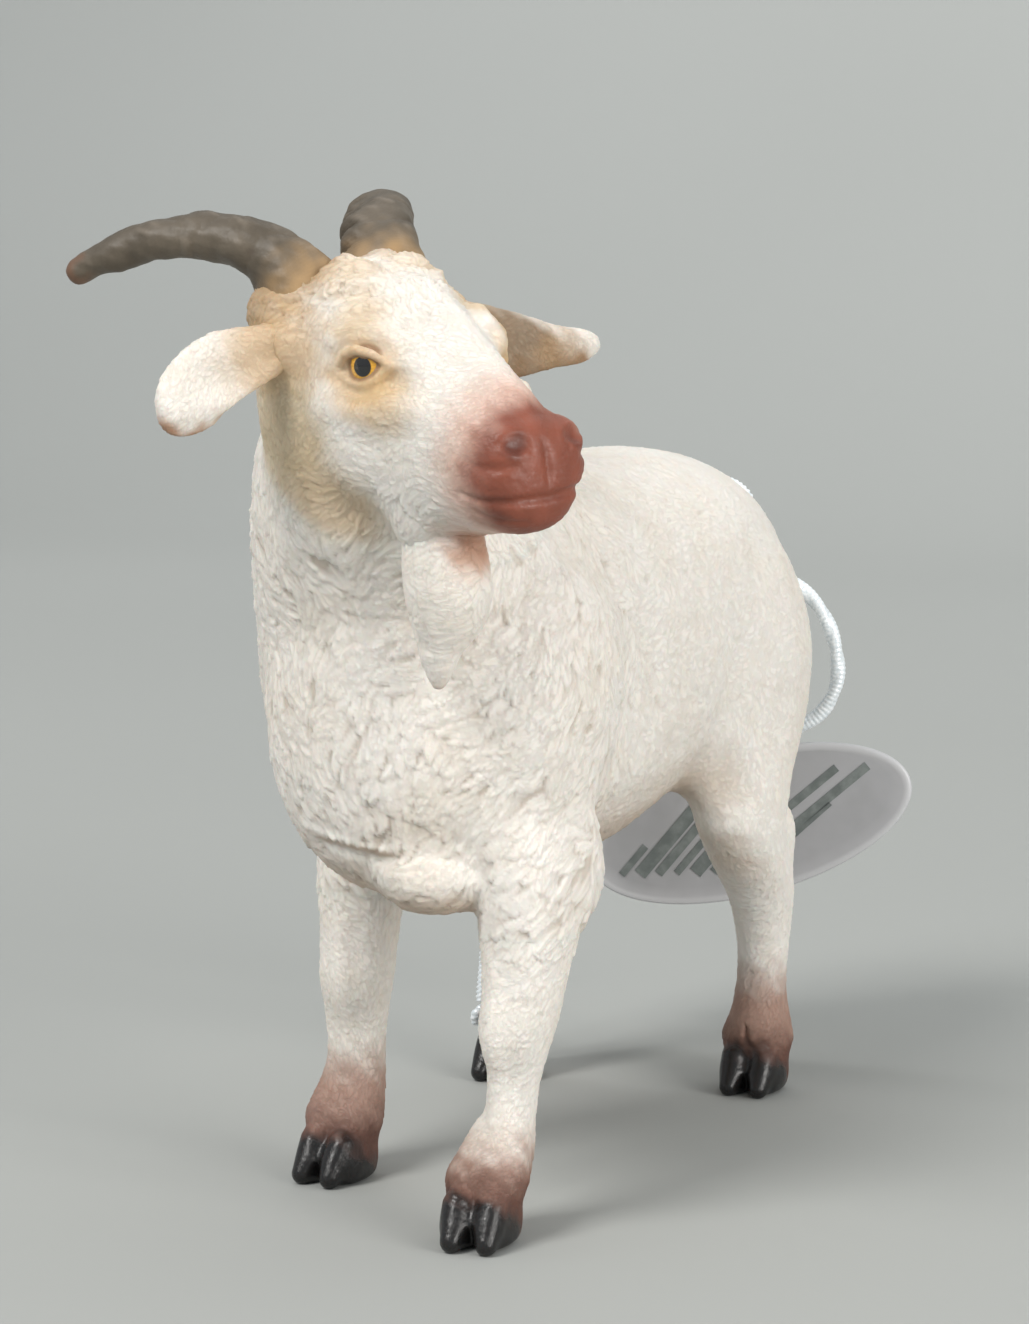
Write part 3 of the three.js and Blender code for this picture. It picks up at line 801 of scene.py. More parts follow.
def sculpt_head(clay):
    def ball(centre, radii, reach, carve=False, sides=True):
        for c in both_sides(centre) if sides else [np.atleast_2d(centre)]:
            clay.ball(from_head(c)[0], radii, reach, HEAD_AXES, carve)

    def stroke(route, radii, reach, carve=False, sides=True):
        for r in both_sides(route) if sides else [np.asarray(route, float)]:
            clay.stroke(from_head(r), radii, reach, carve)

    def crease(route, radius, *rest, sides=True, **more):
        for r in both_sides(route) if sides else [np.asarray(route, float)]:
            clay.crease(from_head(r), radius, *rest, **more)

    # brow, cheek bone, jaw and the bumps of hair on the forehead
    stroke([(-5.0, -7.6, 3.0), (-6.1, -5.4, 3.3), (-6.8, -3.2, 2.8)], (0.3, 0.6, 0.4), 1.4)
    stroke([(-5.4, -11.0, -2.8), (-6.7, -6.5, -3.0), (-7.1, -2.0, -2.5)], (0.6, 0.85, 0.8), 2.0)
    ball((-5.6, -1.6, -6.0), (2.1, 4.0, 3.4), 2.4)
    behind_jaw = [(-6.3, 5.2, 0.0), (-6.4, 4.4, -4.0), (-5.8, 3.2, -8.5), (-4.8, 1.4, -12.5)]
    stroke(behind_jaw, (1.9, 2.2, 2.4, 2.2), 3.4)
    ball((-2.6, -0.6, 6.4), (2.0, 2.8, 1.7), 1.8)
    ball((0.0, -5.0, 5.2), (2.2, 2.4, 1.2), 1.6, sides=False)
    stroke([(0.0, -8.5, 3.2), (0.0, -13.0, 0.0), (-0.3, -17.0, -2.5)], (1.6, 1.4, 1.3), 2.0, sides=False)
    parting = [(0.0, 7.5, 8.4), (0.0, 3.0, 8.6), (-0.2, -1.0, 7.6), (-0.4, -4.0, 6.2)]
    crease(parting, 0.9, 1.6, 0.2, sides=False)
    for start, middle, end in (
        ((-4.6, -0.6, 7.2), (-2.6, -2.8, 6.8), (-0.9, -2.2, 7.0)),
        ((-5.4, -2.4, 6.0), (-3.4, -4.6, 6.0), (-1.4, -4.0, 6.4)),
        ((-5.8, -4.6, 4.6), (-4.0, -6.6, 4.8), (-2.2, -6.4, 5.2)),
        ((-4.8, -7.8, 3.6), (-3.2, -9.4, 3.6), (-1.4, -9.0, 3.8)),
        ((-3.6, 1.8, 8.2), (-1.8, -0.4, 8.0), (-0.4, 0.2, 8.4)),
    ):
        crease([start, middle, end], 0.42, 0.7, 0.3)
    # collars where the horns and ears leave the skull
    ball((-4.1, 4.4, 5.4), (4.1, 3.7, 2.6), 1.2)
    ball((-7.2, 2.8, 2.2), (2.2, 2.3, 2.3), 1.4)
    ball((-6.0, 5.6, 4.2), (2.2, 2.6, 2.6), 1.6)
    # the fuller left cheek, then the eye sockets, tear ducts and lids
    ball((5.5, -5.4, 0.4), (1.5, 3.8, 2.9), 1.6, sides=False)
    ball((-7.9, -6.1, 0.6), (1.3, 2.7, 1.75), 0.5, carve=True)
    ball((-6.0, -10.0, -0.4), (0.9, 1.7, 0.8), 1.2, carve=True)
    for eye in both_sides(EYE):
        clay.ball(from_head(eye)[0], (EYE_RADIUS - 0.1,) * 3, 0.25)
    upper = [(-5.6, -8.7, 0.75), (-6.5, -7.6, 1.75), (-7.0, -6.3, 2.1)]
    upper += [(-7.15, -4.9, 1.7), (-7.15, -3.5, 0.5)]
    lower = [(-5.6, -8.7, 0.65), (-6.45, -7.6, -0.45), (-6.95, -6.3, -0.75)]
    lower += [(-7.1, -4.9, -0.4), (-7.15, -3.5, 0.4)]
    stroke(upper, (0.22, 0.36, 0.42, 0.36, 0.22), 0.4)
    stroke(lower, (0.18, 0.26, 0.3, 0.26, 0.18), 0.4)
    crease([(-5.6, -8.0, 3.1), (-6.6, -6.2, 3.6), (-7.2, -4.0, 3.0)], 0.22, 0.4, 0.5)
    crease([(-5.9, -8.8, -0.8), (-6.8, -7.0, -1.5), (-7.3, -4.8, -1.2)], 0.24, 0.4, 0.4)
    crease([(-6.0, -8.6, -1.9), (-6.9, -6.6, -2.5), (-7.4, -4.6, -2.0)], 0.2, 0.4, 0.4)
    # muzzle: nostril wings, lips, chin
    ball((-2.7, -18.7, -6.1), (1.7, 1.9, 1.8), 1.2)
    ball((-2.8, -17.6, -8.2), (2.1, 2.4, 1.5), 1.2)
    ball((-0.6, -17.9, -10.7), (2.8, 2.1, 1.6), 1.2, sides=False)
    nostril = [(-1.9, -21.6, -6.2), (-2.3, -21.4, -5.0), (-3.2, -20.8, -4.8), (-4.2, -19.6, -5.6)]
    crease(nostril, 0.45, 0.3, 0.15)
    crease([(-2.4, -21.4, -5.6), (-3.0, -21.0, -5.5), (-3.7, -20.3, -5.8)], 0.62, 0.3, 0.1)
    crease([(-3.2, -21.0, -7.0), (-4.4, -19.8, -7.2), (-5.0, -18.2, -7.0)], 0.26, 0.5, 0.4)
    crease([(-0.6, -21.6, -5.4), (-0.6, -22.3, -7.2), (-0.6, -22.2, -9.2)], 0.34, 0.4, 0.3, sides=False)
    mouth = [(-5.2, -15.4, -9.0), (-4.9, -17.6, -9.4), (-3.9, -19.8, -9.6), (-0.6, -21.6, -9.9)]
    mouth += [(2.9, -19.8, -9.6), (3.9, -17.6, -9.4), (4.2, -15.4, -9.0)]
    crease(mouth, 0.42, 0.3, 0.15, sides=False)
    crease([(-4.6, -16.6, -10.4), (-3.6, -18.8, -10.9), (-2.4, -20.2, -11.2)], 0.2, 0.4, 0.3)


def sculpt(low, high, voxel):
    """The whole figure's clay between two corners, in the figure's frame."""
    clay = Clay(low, high, voxel)
    for name, (reach, soften) in FIGURE_NODES.items():
        clay.node(name, reach, soften)
    beard_root = from_head([(-1.2, -7.2, -9.5), (-1.5, -7.4, -12.6), (-1.6, -6.8, -15.0)])
    clay.stroke(beard_root, (3.0, 3.1, 2.4), 2.6)
    sculpt_body(clay)
    for name in HOOVES:
        sculpt_leg(clay, name)
    sculpt_head(clay)
    return clay


# ---------------------------------------------------------------- hair
LOCK_SPACING = 0.34
STRAND_PITCH = 0.62


def wobble(points, size, seed, terms=7):
    """A smooth random value at each point, about -1 to 1, with features about size mm wide."""
    rng = np.random.default_rng(seed)
    total = np.zeros(len(points))
    for _ in range(terms):
        direction = rng.normal(size=3)
        direction *= rng.uniform(0.6, 1.5) * 2 * math.pi / (2 * size) / np.linalg.norm(direction)
        total += np.sin(points @ direction + rng.uniform(0, 2 * math.pi))
    return total / math.sqrt(terms)


def step(value, low, high):
    t = np.clip((value - low) / (high - low), 0, 1)
    return t * t * (3 - 2 * t)


def mixed(a, b, share):
    """a where share is 0 and b where it is 1; share may be one value for each row of a."""
    share = share[:, None] if np.ndim(share) < np.ndim(a) else share
    return a * (1 - share) + np.asarray(b) * share


def unit(vectors):
    return vectors / np.maximum(np.linalg.norm(vectors, axis=1), 1e-9)[:, None]


def head_share(points):
    """1 on the head, 0 past the neck seam."""
    return step((to_head(points) - NECK_MIDDLE) @ NECK_SIDE, 1.5, -1.5)


def hair_at(points, normals):
    """Height, length and width of the hair locks at each point in mm, and the way they lie."""
    x, y, z = points.T
    local = to_head(points)
    on_head = head_share(points)
    lower = step(z, 27.0, 21.0)
    chest = step(y, 0.0, -20.0) * (1 - lower)
    shoulder = step(y, 14.0, -8.0) * (1 - lower)
    rump = step(y, 6.0, 22.0)
    height = 0.14 + 0.11 * chest + 0.05 * shoulder - 0.05 * rump
    height = mixed(height, 0.11, lower)
    height *= 1 - 0.9 * step(z, 6.5, 3.8)
    length = 2.3 + 1.8 * chest - 0.4 * lower
    width = 0.6 + 0.06 * chest - 0.1 * lower
    back = np.stack([0 * x, 0.85 + 0 * x, -0.5 + 0.25 * step(z, 50.0, 60.0)], axis=1)
    # on the chest both sides run down and in towards a line left of the middle
    pull = np.clip((x + 3.0) / 7.0, -1, 1) * step(z, 64.0, 50.0)
    down = np.stack([-0.75 * pull, -0.2 + 0 * x, -1.0 + 0.25 * np.abs(pull)], axis=1)
    neck = np.clip(chest + step(z, 58.0, 64.0) + lower, 0, 1)[:, None]
    flow = back * (1 - neck) + down * neck
    # on the head the hair runs back from the muzzle, and down over the cheeks
    muzzle = step(local[:, 1], -12.0, -17.5)
    head_flow = np.stack([0.1 * local[:, 0], 1.0 + 0 * x, -0.25 - 0.06 * (local[:, 1] + 12)], axis=1)
    throat = step(local[:, 2], -6.0, -11.0) * (1 - muzzle)
    crown = step(local[:, 2], 2.5, 5.5)
    out = step(np.abs(local[:, 0]), 8.6, 10.5)
    ear_flow = np.stack([np.sign(local[:, 0]), -0.1 + 0 * x, -0.3 + 0 * x], axis=1)
    head_flow = mixed(head_flow, ear_flow, out)
    head_height = 0.12 + 0.08 * throat + 0.13 * crown - 0.06 * muzzle - 0.03 * out
    for eye in both_sides(EYE):
        head_height *= 1 - 0.85 * step(np.linalg.norm(local - eye, axis=1), 4.6, 2.9)
    head_length = 1.9 + 1.6 * throat + 0.5 * crown
    head_width = 0.42 + 0.3 * throat + 0.16 * crown
    height = mixed(height, head_height, on_head)
    length = mixed(length, head_length, on_head)
    width = mixed(width, head_width, on_head)
    flow = mixed(flow, head_flow @ HEAD_AXES.T, on_head)
    flow = unit(flow - normals * (flow * normals).sum(1)[:, None])
    loose = 0.35 + 0.2 * chest + 0.35 * shoulder * (1 - chest)
    swing = loose * wobble(points, 4.5, 11) + 0.3 * wobble(points, 1.8, 12)
    across = np.cross(normals, flow)
    flow = flow * np.cos(swing)[:, None] + across * np.sin(swing)[:, None]
    return height, length, width, flow


class Hair:
    """Locks of hair spread over a surface. Their height can be read at any point of it."""

    def __init__(self, points, normals, seed, voxel):
        rng = np.random.default_rng(seed)
        height, length, width, flow = hair_at(points, normals)
        chosen = rng.random(len(points)) < voxel**2 * 1.25 / (length * width * LOCK_SPACING)
        count = chosen.sum()
        self.points = points[chosen]
        self.normals = normals[chosen]
        self.height = height[chosen] * rng.uniform(0.45, 1.2, count)
        self.length = length[chosen] * rng.uniform(0.6, 1.4, count)
        self.width = width[chosen] * rng.uniform(0.6, 1.35, count)
        self.flow = flow[chosen]
        self.across = np.cross(self.normals, self.flow)
        self.bend = rng.uniform(-1.2, 1.2, count)
        self.phase = rng.uniform(0, 40.0, count)
        self.tree = kdtree.KDTree(count)
        for i, p in enumerate(self.points):
            self.tree.insert(p, i)
        self.tree.balance()

    def relief(self, points, normals, neighbours=11):
        """The height of the locks over each point in mm, and the point's place within its lock."""
        near = np.full((len(points), neighbours), -1)
        for i, p in enumerate(points):
            found = self.tree.find_n(p, neighbours)
            near[i, : len(found)] = [f[1] for f in found]
        best = np.zeros(len(points))
        place = np.zeros((len(points), 3))
        for k in range(neighbours):
            j = near[:, k]
            away = points - self.points[j]
            u = (away * self.flow[j]).sum(1) / (0.5 * self.length[j])
            side = (away * self.across[j]).sum(1) - self.bend[j] * self.width[j] * u**2
            half = 0.75 * self.width[j] * np.sqrt(np.clip(1 - u, 0, 1)) * np.clip(1 + u, 0, 1) ** 0.4
            v = side / np.maximum(half, 1e-3)
            facing = (normals * self.normals[j]).sum(1) > 0.3
            strands = 1 + 0.28 * np.cos(side * 2 * math.pi / STRAND_PITCH + self.phase[j])
            lift = self.height[j] * (0.55 + 0.45 * u) * np.sqrt(np.clip(1 - v**4, 0, 1)) * strands
            higher = (np.abs(u) < 1) & facing & (lift > best)
            best = np.where(higher, lift, best)
            mark = np.stack([side * 3.2, u * self.length[j] * 0.35, self.phase[j]], axis=1)
            place = np.where(higher[:, None], mark, place)
        return best, place


def vertex_normals(points, quads):
    a, b, c, d = (points[quads[:, i]] for i in range(4))
    face = np.cross(c - a, d - b)
    normals = np.zeros_like(points)
    for i in range(4):
        np.add.at(normals, quads[:, i], face)
    return unit(normals)


def relax(points, quads, rounds):
    """Evens a surface by moving each point part of the way to the middle of its neighbours."""
    edges = np.vstack([quads[:, [i, (i + 1) % 4]] for i in range(4)])
    count = np.maximum(np.bincount(edges.ravel(), minlength=len(points)), 1)[:, None]
    for _ in range(rounds):
        total = np.zeros_like(points)
        np.add.at(total, edges[:, 0], points[edges[:, 1]])
        np.add.at(total, edges[:, 1], points[edges[:, 0]])
        points = points + 0.5 * (total / count - points)
    return points


# ---------------------------------------------------------------- airbrushed colours and painted shade
CREAM = (0.83, 0.79, 0.735)
LID_SHADOW = (0.26, 0.13, 0.06)
THIGH_HOLLOW_SHADE = (0.44, 0.33, 0.23)
BELLY_SHADE = (0.5, 0.37, 0.27)
PASTERN_BROWN = (0.30, 0.145, 0.095)
CORONET_BROWN = (0.10, 0.035, 0.022)
HOOF_BLACK = (0.012, 0.011, 0.011)
# the hollow in front of the left thigh, darkened with painted shade
DIMPLE_PLACE = (12.6, 15.2, 32.6)
# in the head's frame: centre, where the colour is full, where it ends, colour, share, both sides
HEAD_PAINT_AND_SHADE = [
    ((-7.0, -6.4, 0.2), 1.8, 4.8, (0.60, 0.37, 0.14), 0.66, True),
    ((-6.9, -8.8, -2.0), 0.8, 4.4, (0.62, 0.41, 0.18), 0.6, True),
    ((-6.2, -5.4, 4.8), 0.8, 4.2, (0.64, 0.44, 0.21), 0.55, True),
    ((-3.4, -1.0, 7.6), 1.0, 4.6, (0.64, 0.44, 0.22), 0.5, True),
    ((-4.1, 4.8, 6.4), 3.2, 6.6, (0.43, 0.265, 0.115), 0.85, True),
    ((-7.2, 5.2, 2.4), 2.2, 5.6, (0.42, 0.27, 0.13), 0.8, True),
    ((-9.6, 1.4, 2.2), 2.2, 6.4, (0.58, 0.4, 0.22), 0.75, True),
    ((-17.6, 1.5, -4.2), 0.9, 2.4, (0.40, 0.19, 0.085), 0.9, True),
    ((-14.6, 1.7, -3.2), 0.7, 2.1, (0.40, 0.19, 0.085), 0.85, True),
    ((-20.6, 1.5, -3.2), 0.8, 2.4, (0.40, 0.19, 0.085), 0.85, True),
    # the underside of the left ear: its tan paint, made darker still with painted shade
    ((13.0, 0.8, -2.8), 5.2, 7.2, (0.21, 0.135, 0.07), 0.9, False),
    ((19.0, 0.6, -2.4), 1.6, 3.6, (0.33, 0.21, 0.11), 0.75, False),
    ((-7.0, 2.6, -5.0), 2.8, 7.5, (0.54, 0.42, 0.25), 0.8, True),
    ((-6.4, -0.5, -10.5), 1.8, 6.4, (0.54, 0.39, 0.22), 0.7, True),
    ((-0.6, -11.5, -12.6), 1.6, 4.8, (0.46, 0.21, 0.12), 0.75, False),
    ((-1.2, -11.4, -15.0), 0.8, 3.2, (0.5, 0.27, 0.17), 0.6, False),
    ((-3.0, -7.4, -25.5), 0.8, 3.6, (0.46, 0.3, 0.15), 0.75, False),
    ((-0.6, -20.2, -7.6), 5.4, 10.4, (0.62, 0.34, 0.25), 0.75, False),
    ((-0.6, -20.8, -8.0), 4.6, 7.6, (0.235, 0.068, 0.040), 1.0, False),
    ((-3.0, -20.9, -5.5), 0.4, 1.3, (0.08, 0.022, 0.014), 0.75, True),
]


def paint_at(points, normals):
    """The airbrushed colour at each point, with painted shade under the body, in the thigh hollow, round the
    eyes and under the left ear, and how glossy it is.
    """
    local = to_head(points)
    on_head = head_share(points)
    spread = 0.9 * wobble(points, 1.6, 21) + 0.6 * wobble(points, 0.7, 22)
    color = np.tile(CREAM, (len(points), 1))
    for centre, full, end, tone, share, sides in HEAD_PAINT_AND_SHADE:
        for side in (1, -1) if sides else (1,):
            away = np.linalg.norm(local - np.array(centre) * [side, 1, 1], axis=1) + 0.25 * spread
            color = mixed(color, tone, step(away, end, full) * share * on_head)
    # a thin dark ring round each eye: painted shadow of the lids
    for eye in both_sides(EYE):
        away = np.linalg.norm(local - eye, axis=1)
        color = mixed(color, LID_SHADOW, 0.75 * step(away, EYE_RADIUS + 0.42, EYE_RADIUS + 0.1) * on_head)
    # painted shade in the hollow in front of the left thigh
    dimple = step(np.linalg.norm(points - DIMPLE_PLACE, axis=1), 4.2, 1.0)
    color = mixed(color, THIGH_HOLLOW_SHADE, 0.45 * dimple)
    # painted shade on the underside of the body, between the legs and under the tail
    z = points[:, 2]
    under = step(normals[:, 2], -0.2, -0.9) * step(z, 60.0, 40.0) * step(z, 20.0, 26.0)
    color = mixed(color, BELLY_SHADE, 0.7 * under * (1 - on_head))
    # the nose is worn darker and paler in streaks
    nose = step(np.linalg.norm(local - (-0.6, -20.8, -8.0), axis=1), 7.0, 4.5) * on_head
    streak = wobble(local * (1.0, 0.6, 1.0), 1.3, 23)
    color = color * (1 + 0.08 * nose * streak)[:, None]
    gloss = 0.55 * step(np.linalg.norm(local - (-0.6, -21.5, -7.5), axis=1), 7.0, 4.0) * on_head
    # brown pasterns, darker to the hoof, and black claws that reach higher at the toe
    tops = np.where(points[:, 1] > 5, 14.8, np.where(points[:, 0] > 0, 11.0, 13.5))
    fade = step(z + 0.45 * spread, tops, tops - 6.0) * step(z, 24.0, 20.0)
    color = mixed(color, PASTERN_BROWN, 0.85 * fade)
    dark = step(z + 0.35 * spread, 8.0, 3.6)
    color = mixed(color, CORONET_BROWN, 0.9 * dark)
    front = np.zeros(len(points))
    for (x, y), _ in HOOVES.values():
        near = np.hypot(points[:, 0] - x, points[:, 1] - y) < 7
        front = np.where(near, y - points[:, 1], front)
    hoof = step(z + 0.5 * spread - 0.8 * np.clip(front, -3, 3.0), 3.9, 1.2)
    color = mixed(color, HOOF_BLACK, hoof)
    gloss = np.maximum(gloss, hoof)
    return color, gloss


def slice_off(piece, place, direction, within=None):
    """Removes what lies past a plane (figure frame, mm) and closes the cut."""
    shape = bmesh.new()
    shape.from_mesh(piece.data)
    geometry = shape.verts[:] + shape.edges[:] + shape.faces[:]
    if within:
        faces = [f for f in shape.faces if within(np.array(f.calc_center_median()) * 1000 - FIGURE_SHIFT)]
        # a dict keeps the order, so that the faces come out in the same order each run
        geometry = list(dict.fromkeys(g for f in faces for g in (f, *f.verts, *f.edges)))
    cut = bmesh.ops.bisect_plane(
        shape,
        geom=geometry,
        dist=1e-7,
        plane_co=Vector(row(place)),
        plane_no=Vector(direction),
        clear_outer=True,
    )
    rim = [e for e in cut["geom_cut"] if isinstance(e, bmesh.types.BMEdge)]
    made = bmesh.ops.edgeloop_fill(shape, edges=rim)
    for face in made["faces"]:
        face.smooth = False
        for edge in face.edges:
            edge.smooth = False
    bmesh.ops.triangulate(shape, faces=made["faces"])
    shape.to_mesh(piece.data)
    shape.free()


def keep_largest(points, quads):
    """Only the biggest connected body of a surface."""
    label = np.arange(len(points))
    while True:
        low = label[quads].min(1)
        fresh = label.copy()
        for i in range(4):
            np.minimum.at(fresh, quads[:, i], low)
        fresh = fresh[fresh]
        if (fresh == label).all():
            break
        label = fresh
    names, counts = np.unique(label[quads[:, 0]], return_counts=True)
    main = names[counts.argmax()]
    kept = label == main
    number = np.cumsum(kept) - 1
    return points[kept], number[quads[kept[quads[:, 0]]]]


coat = painted_material()
horn_paint = horn_material()
eye_paint = eye_material()


def coated_piece(name, points, quads, cuts, node, locks, strength=1.0):
    """A surface with hair and paint, cut off at the given planes, riding on the figure."""
    normals = vertex_normals(points, quads)
    relief, lock = locks.relief(points, normals)
    relief = relief * strength
    piece = make_object(name, row(points + normals * relief[:, None]), quads, coat)
    expected = hair_at(points, normals)[0] * strength
    color, gloss = paint_at(points, normals)
    # how deep each point lies between the locks; the coat darkens it with paint wash and painted shade
    cavity = 1.0 - relief / np.maximum(expected * 0.75, 1e-3)
    cavity = np.clip(cavity, -1, 1) * (0.3 + 0.4 * step(expected, 0.12, 0.3))
    set_values(piece, "paint", color)
    set_values(piece, "gloss", gloss)
    set_values(piece, "cavity", cavity)
    set_values(piece, "lock", lock)
    for cut in cuts:
        slice_off(piece, *cut)
    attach(piece, "figure")
    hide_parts(node)


RELAX_ROUNDS = 2
SEAM = HEAD_AXES @ NECK_SIDE
SEAM_PLACE = from_head(NECK_MIDDLE)
TAIL_PLACE = np.array([0.0, 43.4, 56.0])
TAIL_SIDE = np.array([0.0, 0.8, 0.6])


def node_box(name, margin):
    """The corners of a CAD node's box in the figure's frame, opened by a margin."""
    points = np.array([v.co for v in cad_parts[name].data.vertices]) * 1000 - FIGURE_SHIFT
    return points.min(0) - margin, points.max(0) + margin


def smooth_surface(clay):
    points, quads = keep_largest(*clay.surface())
    return relax(points, quads, RELAX_ROUNDS), quads


def at_leg(place):
    """Whether a place low on the body belongs to a leg and not to the belly."""
    return place[2] < 40 and (abs(place[0]) > 4.5 or not 0 < place[1] < 20)


whole, whole_quads = smooth_surface(sculpt((-20, -54, -1.5), (20, 58, 86), BODY_VOXEL))
hair = Hair(whole, vertex_normals(whole, whole_quads), 7, BODY_VOXEL)
coated_piece(
    "torso_coat",
    whole,
    whole_quads,
    [
        (SEAM_PLACE, -SEAM),
        (TAIL_PLACE, TAIL_SIDE, lambda p: p[1] > 38 and p[2] > 44),
        (np.array([0.0, 0.0, LEG_TOP]), np.array([0.0, 0.0, -1.0]), at_leg),
    ],
    "torso",
    hair,
)

for name in HOOVES:
    low, high = node_box(name + "_leg", 1.6)
    high[2] = LEG_TOP + 1.2
    if name.endswith("left"):
        low[0] = max(low[0], 1.0)
    else:
        high[0] = min(high[0], -1.0)
    points, quads = smooth_surface(sculpt(low, high, FINE_VOXEL))
    cuts = [(np.array([0.0, 0.0, LEG_TOP]), np.array([0.0, 0.0, 1.0]))]
    coated_piece(name + "_limb", points, quads, cuts, name + "_leg", hair)

low, high = node_box("head", 2.2)
points, quads = smooth_surface(sculpt(low, high, FINE_VOXEL))
coated_piece("head_coat", points, quads, [(SEAM_PLACE, SEAM)], "head", hair)

low, high = node_box("tail", 2.0)
points, quads = smooth_surface(sculpt(low, high, BODY_VOXEL))
coated_piece("tail_coat", points, quads, [(TAIL_PLACE, -TAIL_SIDE)], "tail", hair)


# ---------------------------------------------------------------- beard, ears, horns, eyes
def lone_node(name, soften, voxel, margin=1.5):
    """The clay of one CAD node by itself."""
    clay = Clay(*node_box(name, margin), voxel)
    clay.node(name, 0.1, soften)
    return clay


beard = lone_node("beard", 0.35, FINE_VOXEL)
for across, lean in ((-1.9, 0.4), (0.3, -0.5), (1.8, 0.3)):
    route = [(-4.4, -7.7 + across, -12.5)]
    route += [(-4.8, -7.6 + across * 0.9 + lean, -17.0), (-4.2, -7.5 + across * 0.4, -22.5)]
    beard.crease(from_head(route), 0.36, 0.6, 0.35)
beard.ball(from_head((-1.5, -8.5, -17.6)), (2.9, 3.5, 4.6), 1.6, HEAD_AXES)
points, quads = smooth_surface(beard)
locks = Hair(points, vertex_normals(points, quads), 8, FINE_VOXEL)
coated_piece("beard_tuft", points, quads, [], "beard", locks, 0.4)

EAR_HOLLOWS = {
    "left_ear": [((14.0, -0.6, -0.6), (7.0, 1.9, 2.3)), ((9.2, 0.5, 1.4), (3.2, 1.5, 1.4))],
    "right_ear": [((-14.0, -0.5, 1.2), (6.5, 1.9, 2.2)), ((-9.2, 0.4, 2.2), (3.0, 1.5, 1.2))],
}
EAR_VEINS = {
    "left_ear": [[(8.5, 3.7, 1.9), (13.0, 3.1, 0.2), (18.5, 2.4, -1.0)]],
    "right_ear": [[(-8.5, 3.7, 2.4), (-13.0, 3.0, 1.8), (-17.5, 2.3, 0.4)]],
}
EAR_SWELLS = {
    "left_ear": [
        ((7.8, 2.6, 3.5), (2.6, 1.0, 1.5)),
        ((11.2, 2.3, -2.4), (3.2, 0.75, 2.2)),
        ((21.0, 1.5, -1.6), (2.2, 0.55, 1.3)),
    ],
    "right_ear": [((-17.6, 1.6, -1.0), (2.9, 0.7, 2.2)), ((-19.0, 1.5, -1.8), (1.6, 0.55, 1.3))],
}
for name in ("left_ear", "right_ear"):
    ear = lone_node(name, 0.22, EAR_VOXEL, 2.2)
    for centre, radii in EAR_SWELLS[name]:
        ear.ball(from_head(centre), radii, 1.0, HEAD_AXES)
    for centre, radii in EAR_HOLLOWS[name]:
        ear.ball(from_head(centre), radii, 0.9, HEAD_AXES, carve=True)
    for route in EAR_VEINS[name]:
        ear.stroke(from_head(route), (0.5, 0.4, 0.2), 0.5)
    points, quads = smooth_surface(ear)
    locks = Hair(points, vertex_normals(points, quads), 9, EAR_VOXEL)
    coated_piece(name + "_leaf", points, quads, [], name, locks, 0.9)

HORN_SPINE = np.array([
    (3.8, 3.9, 5.1), (4.4, 4.8, 7.5), (5.7, 6.7, 9.6), (7.9, 9.6, 11.0),
    (10.6, 12.8, 11.5), (13.2, 16.1, 10.9), (15.3, 18.6, 9.9), (16.3, 19.9, 9.3),
])


def horn_relief(local, normals, side):
    """Growth rings, a notched keel on the inner edge and fine lengthwise grain, in mm."""
    spine = smooth_curve(HORN_SPINE * (side, 1, 1), 0.25)
    tree = kdtree.KDTree(len(spine))
    for i, p in enumerate(spine):
        tree.insert(p, i)
    tree.balance()
    index = np.array([tree.find(p)[1] for p in local])
    run = index * 0.25
    share = index / (len(spine) - 1)
    facing = np.clip(normals @ np.array([-0.79 * side, 0.61, 0.0]), 0, 1)
    warp = 1.3 * wobble(local, 2.6, 31)
    rings = np.abs(np.sin(run * 1.1 + warp)) ** 0.7 - 0.6
    notch = np.abs(np.sin(run * 1.6 + 0.5 * warp)) ** 0.6 - 0.5
    grain = wobble(np.column_stack([run * 0.3, local[:, 0], local[:, 2]]), 0.6, 32)
    fade = 1.0 - 0.9 * step(share, 0.5, 0.85)
    height = 0.1 * rings * fade + 1.2 * notch * facing**3 * fade + 0.035 * grain
    height += 0.13 * wobble(local, 1.9, 33)
    return height, grain + 0.6 * rings * fade, share


for name, side in (("left_horn", 1), ("right_horn", -1)):
    horn = lone_node(name, 0.3, EAR_VOXEL)
    horn.ball(from_head((side * 4.5, 4.8, 6.2)), (3.5, 3.4, 3.2), 1.2, HEAD_AXES)
    horn.stroke(from_head([(side * 12.6, 15.4, 11.1), (side * 16.0, 19.5, 9.4)]), (1.45, 1.05), 0.8)
    points, quads = smooth_surface(horn)
    normals = vertex_normals(points, quads)
    height, rings, share = horn_relief(to_head(points), normals @ HEAD_AXES, side)
    spread = wobble(points, 1.0, 34)
    piece = make_object(name + "_sheath", row(points + normals * height[:, None]), quads, horn_paint)
    set_values(piece, "cavity", np.clip(-0.35 * rings, -1, 1))
    set_values(piece, "tip", step(share + 0.02 * spread, 0.93, 0.99))
    set_values(piece, "root", step(share + 0.02 * spread, 0.24, 0.0))
    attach(piece, "figure")
    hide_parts(name)


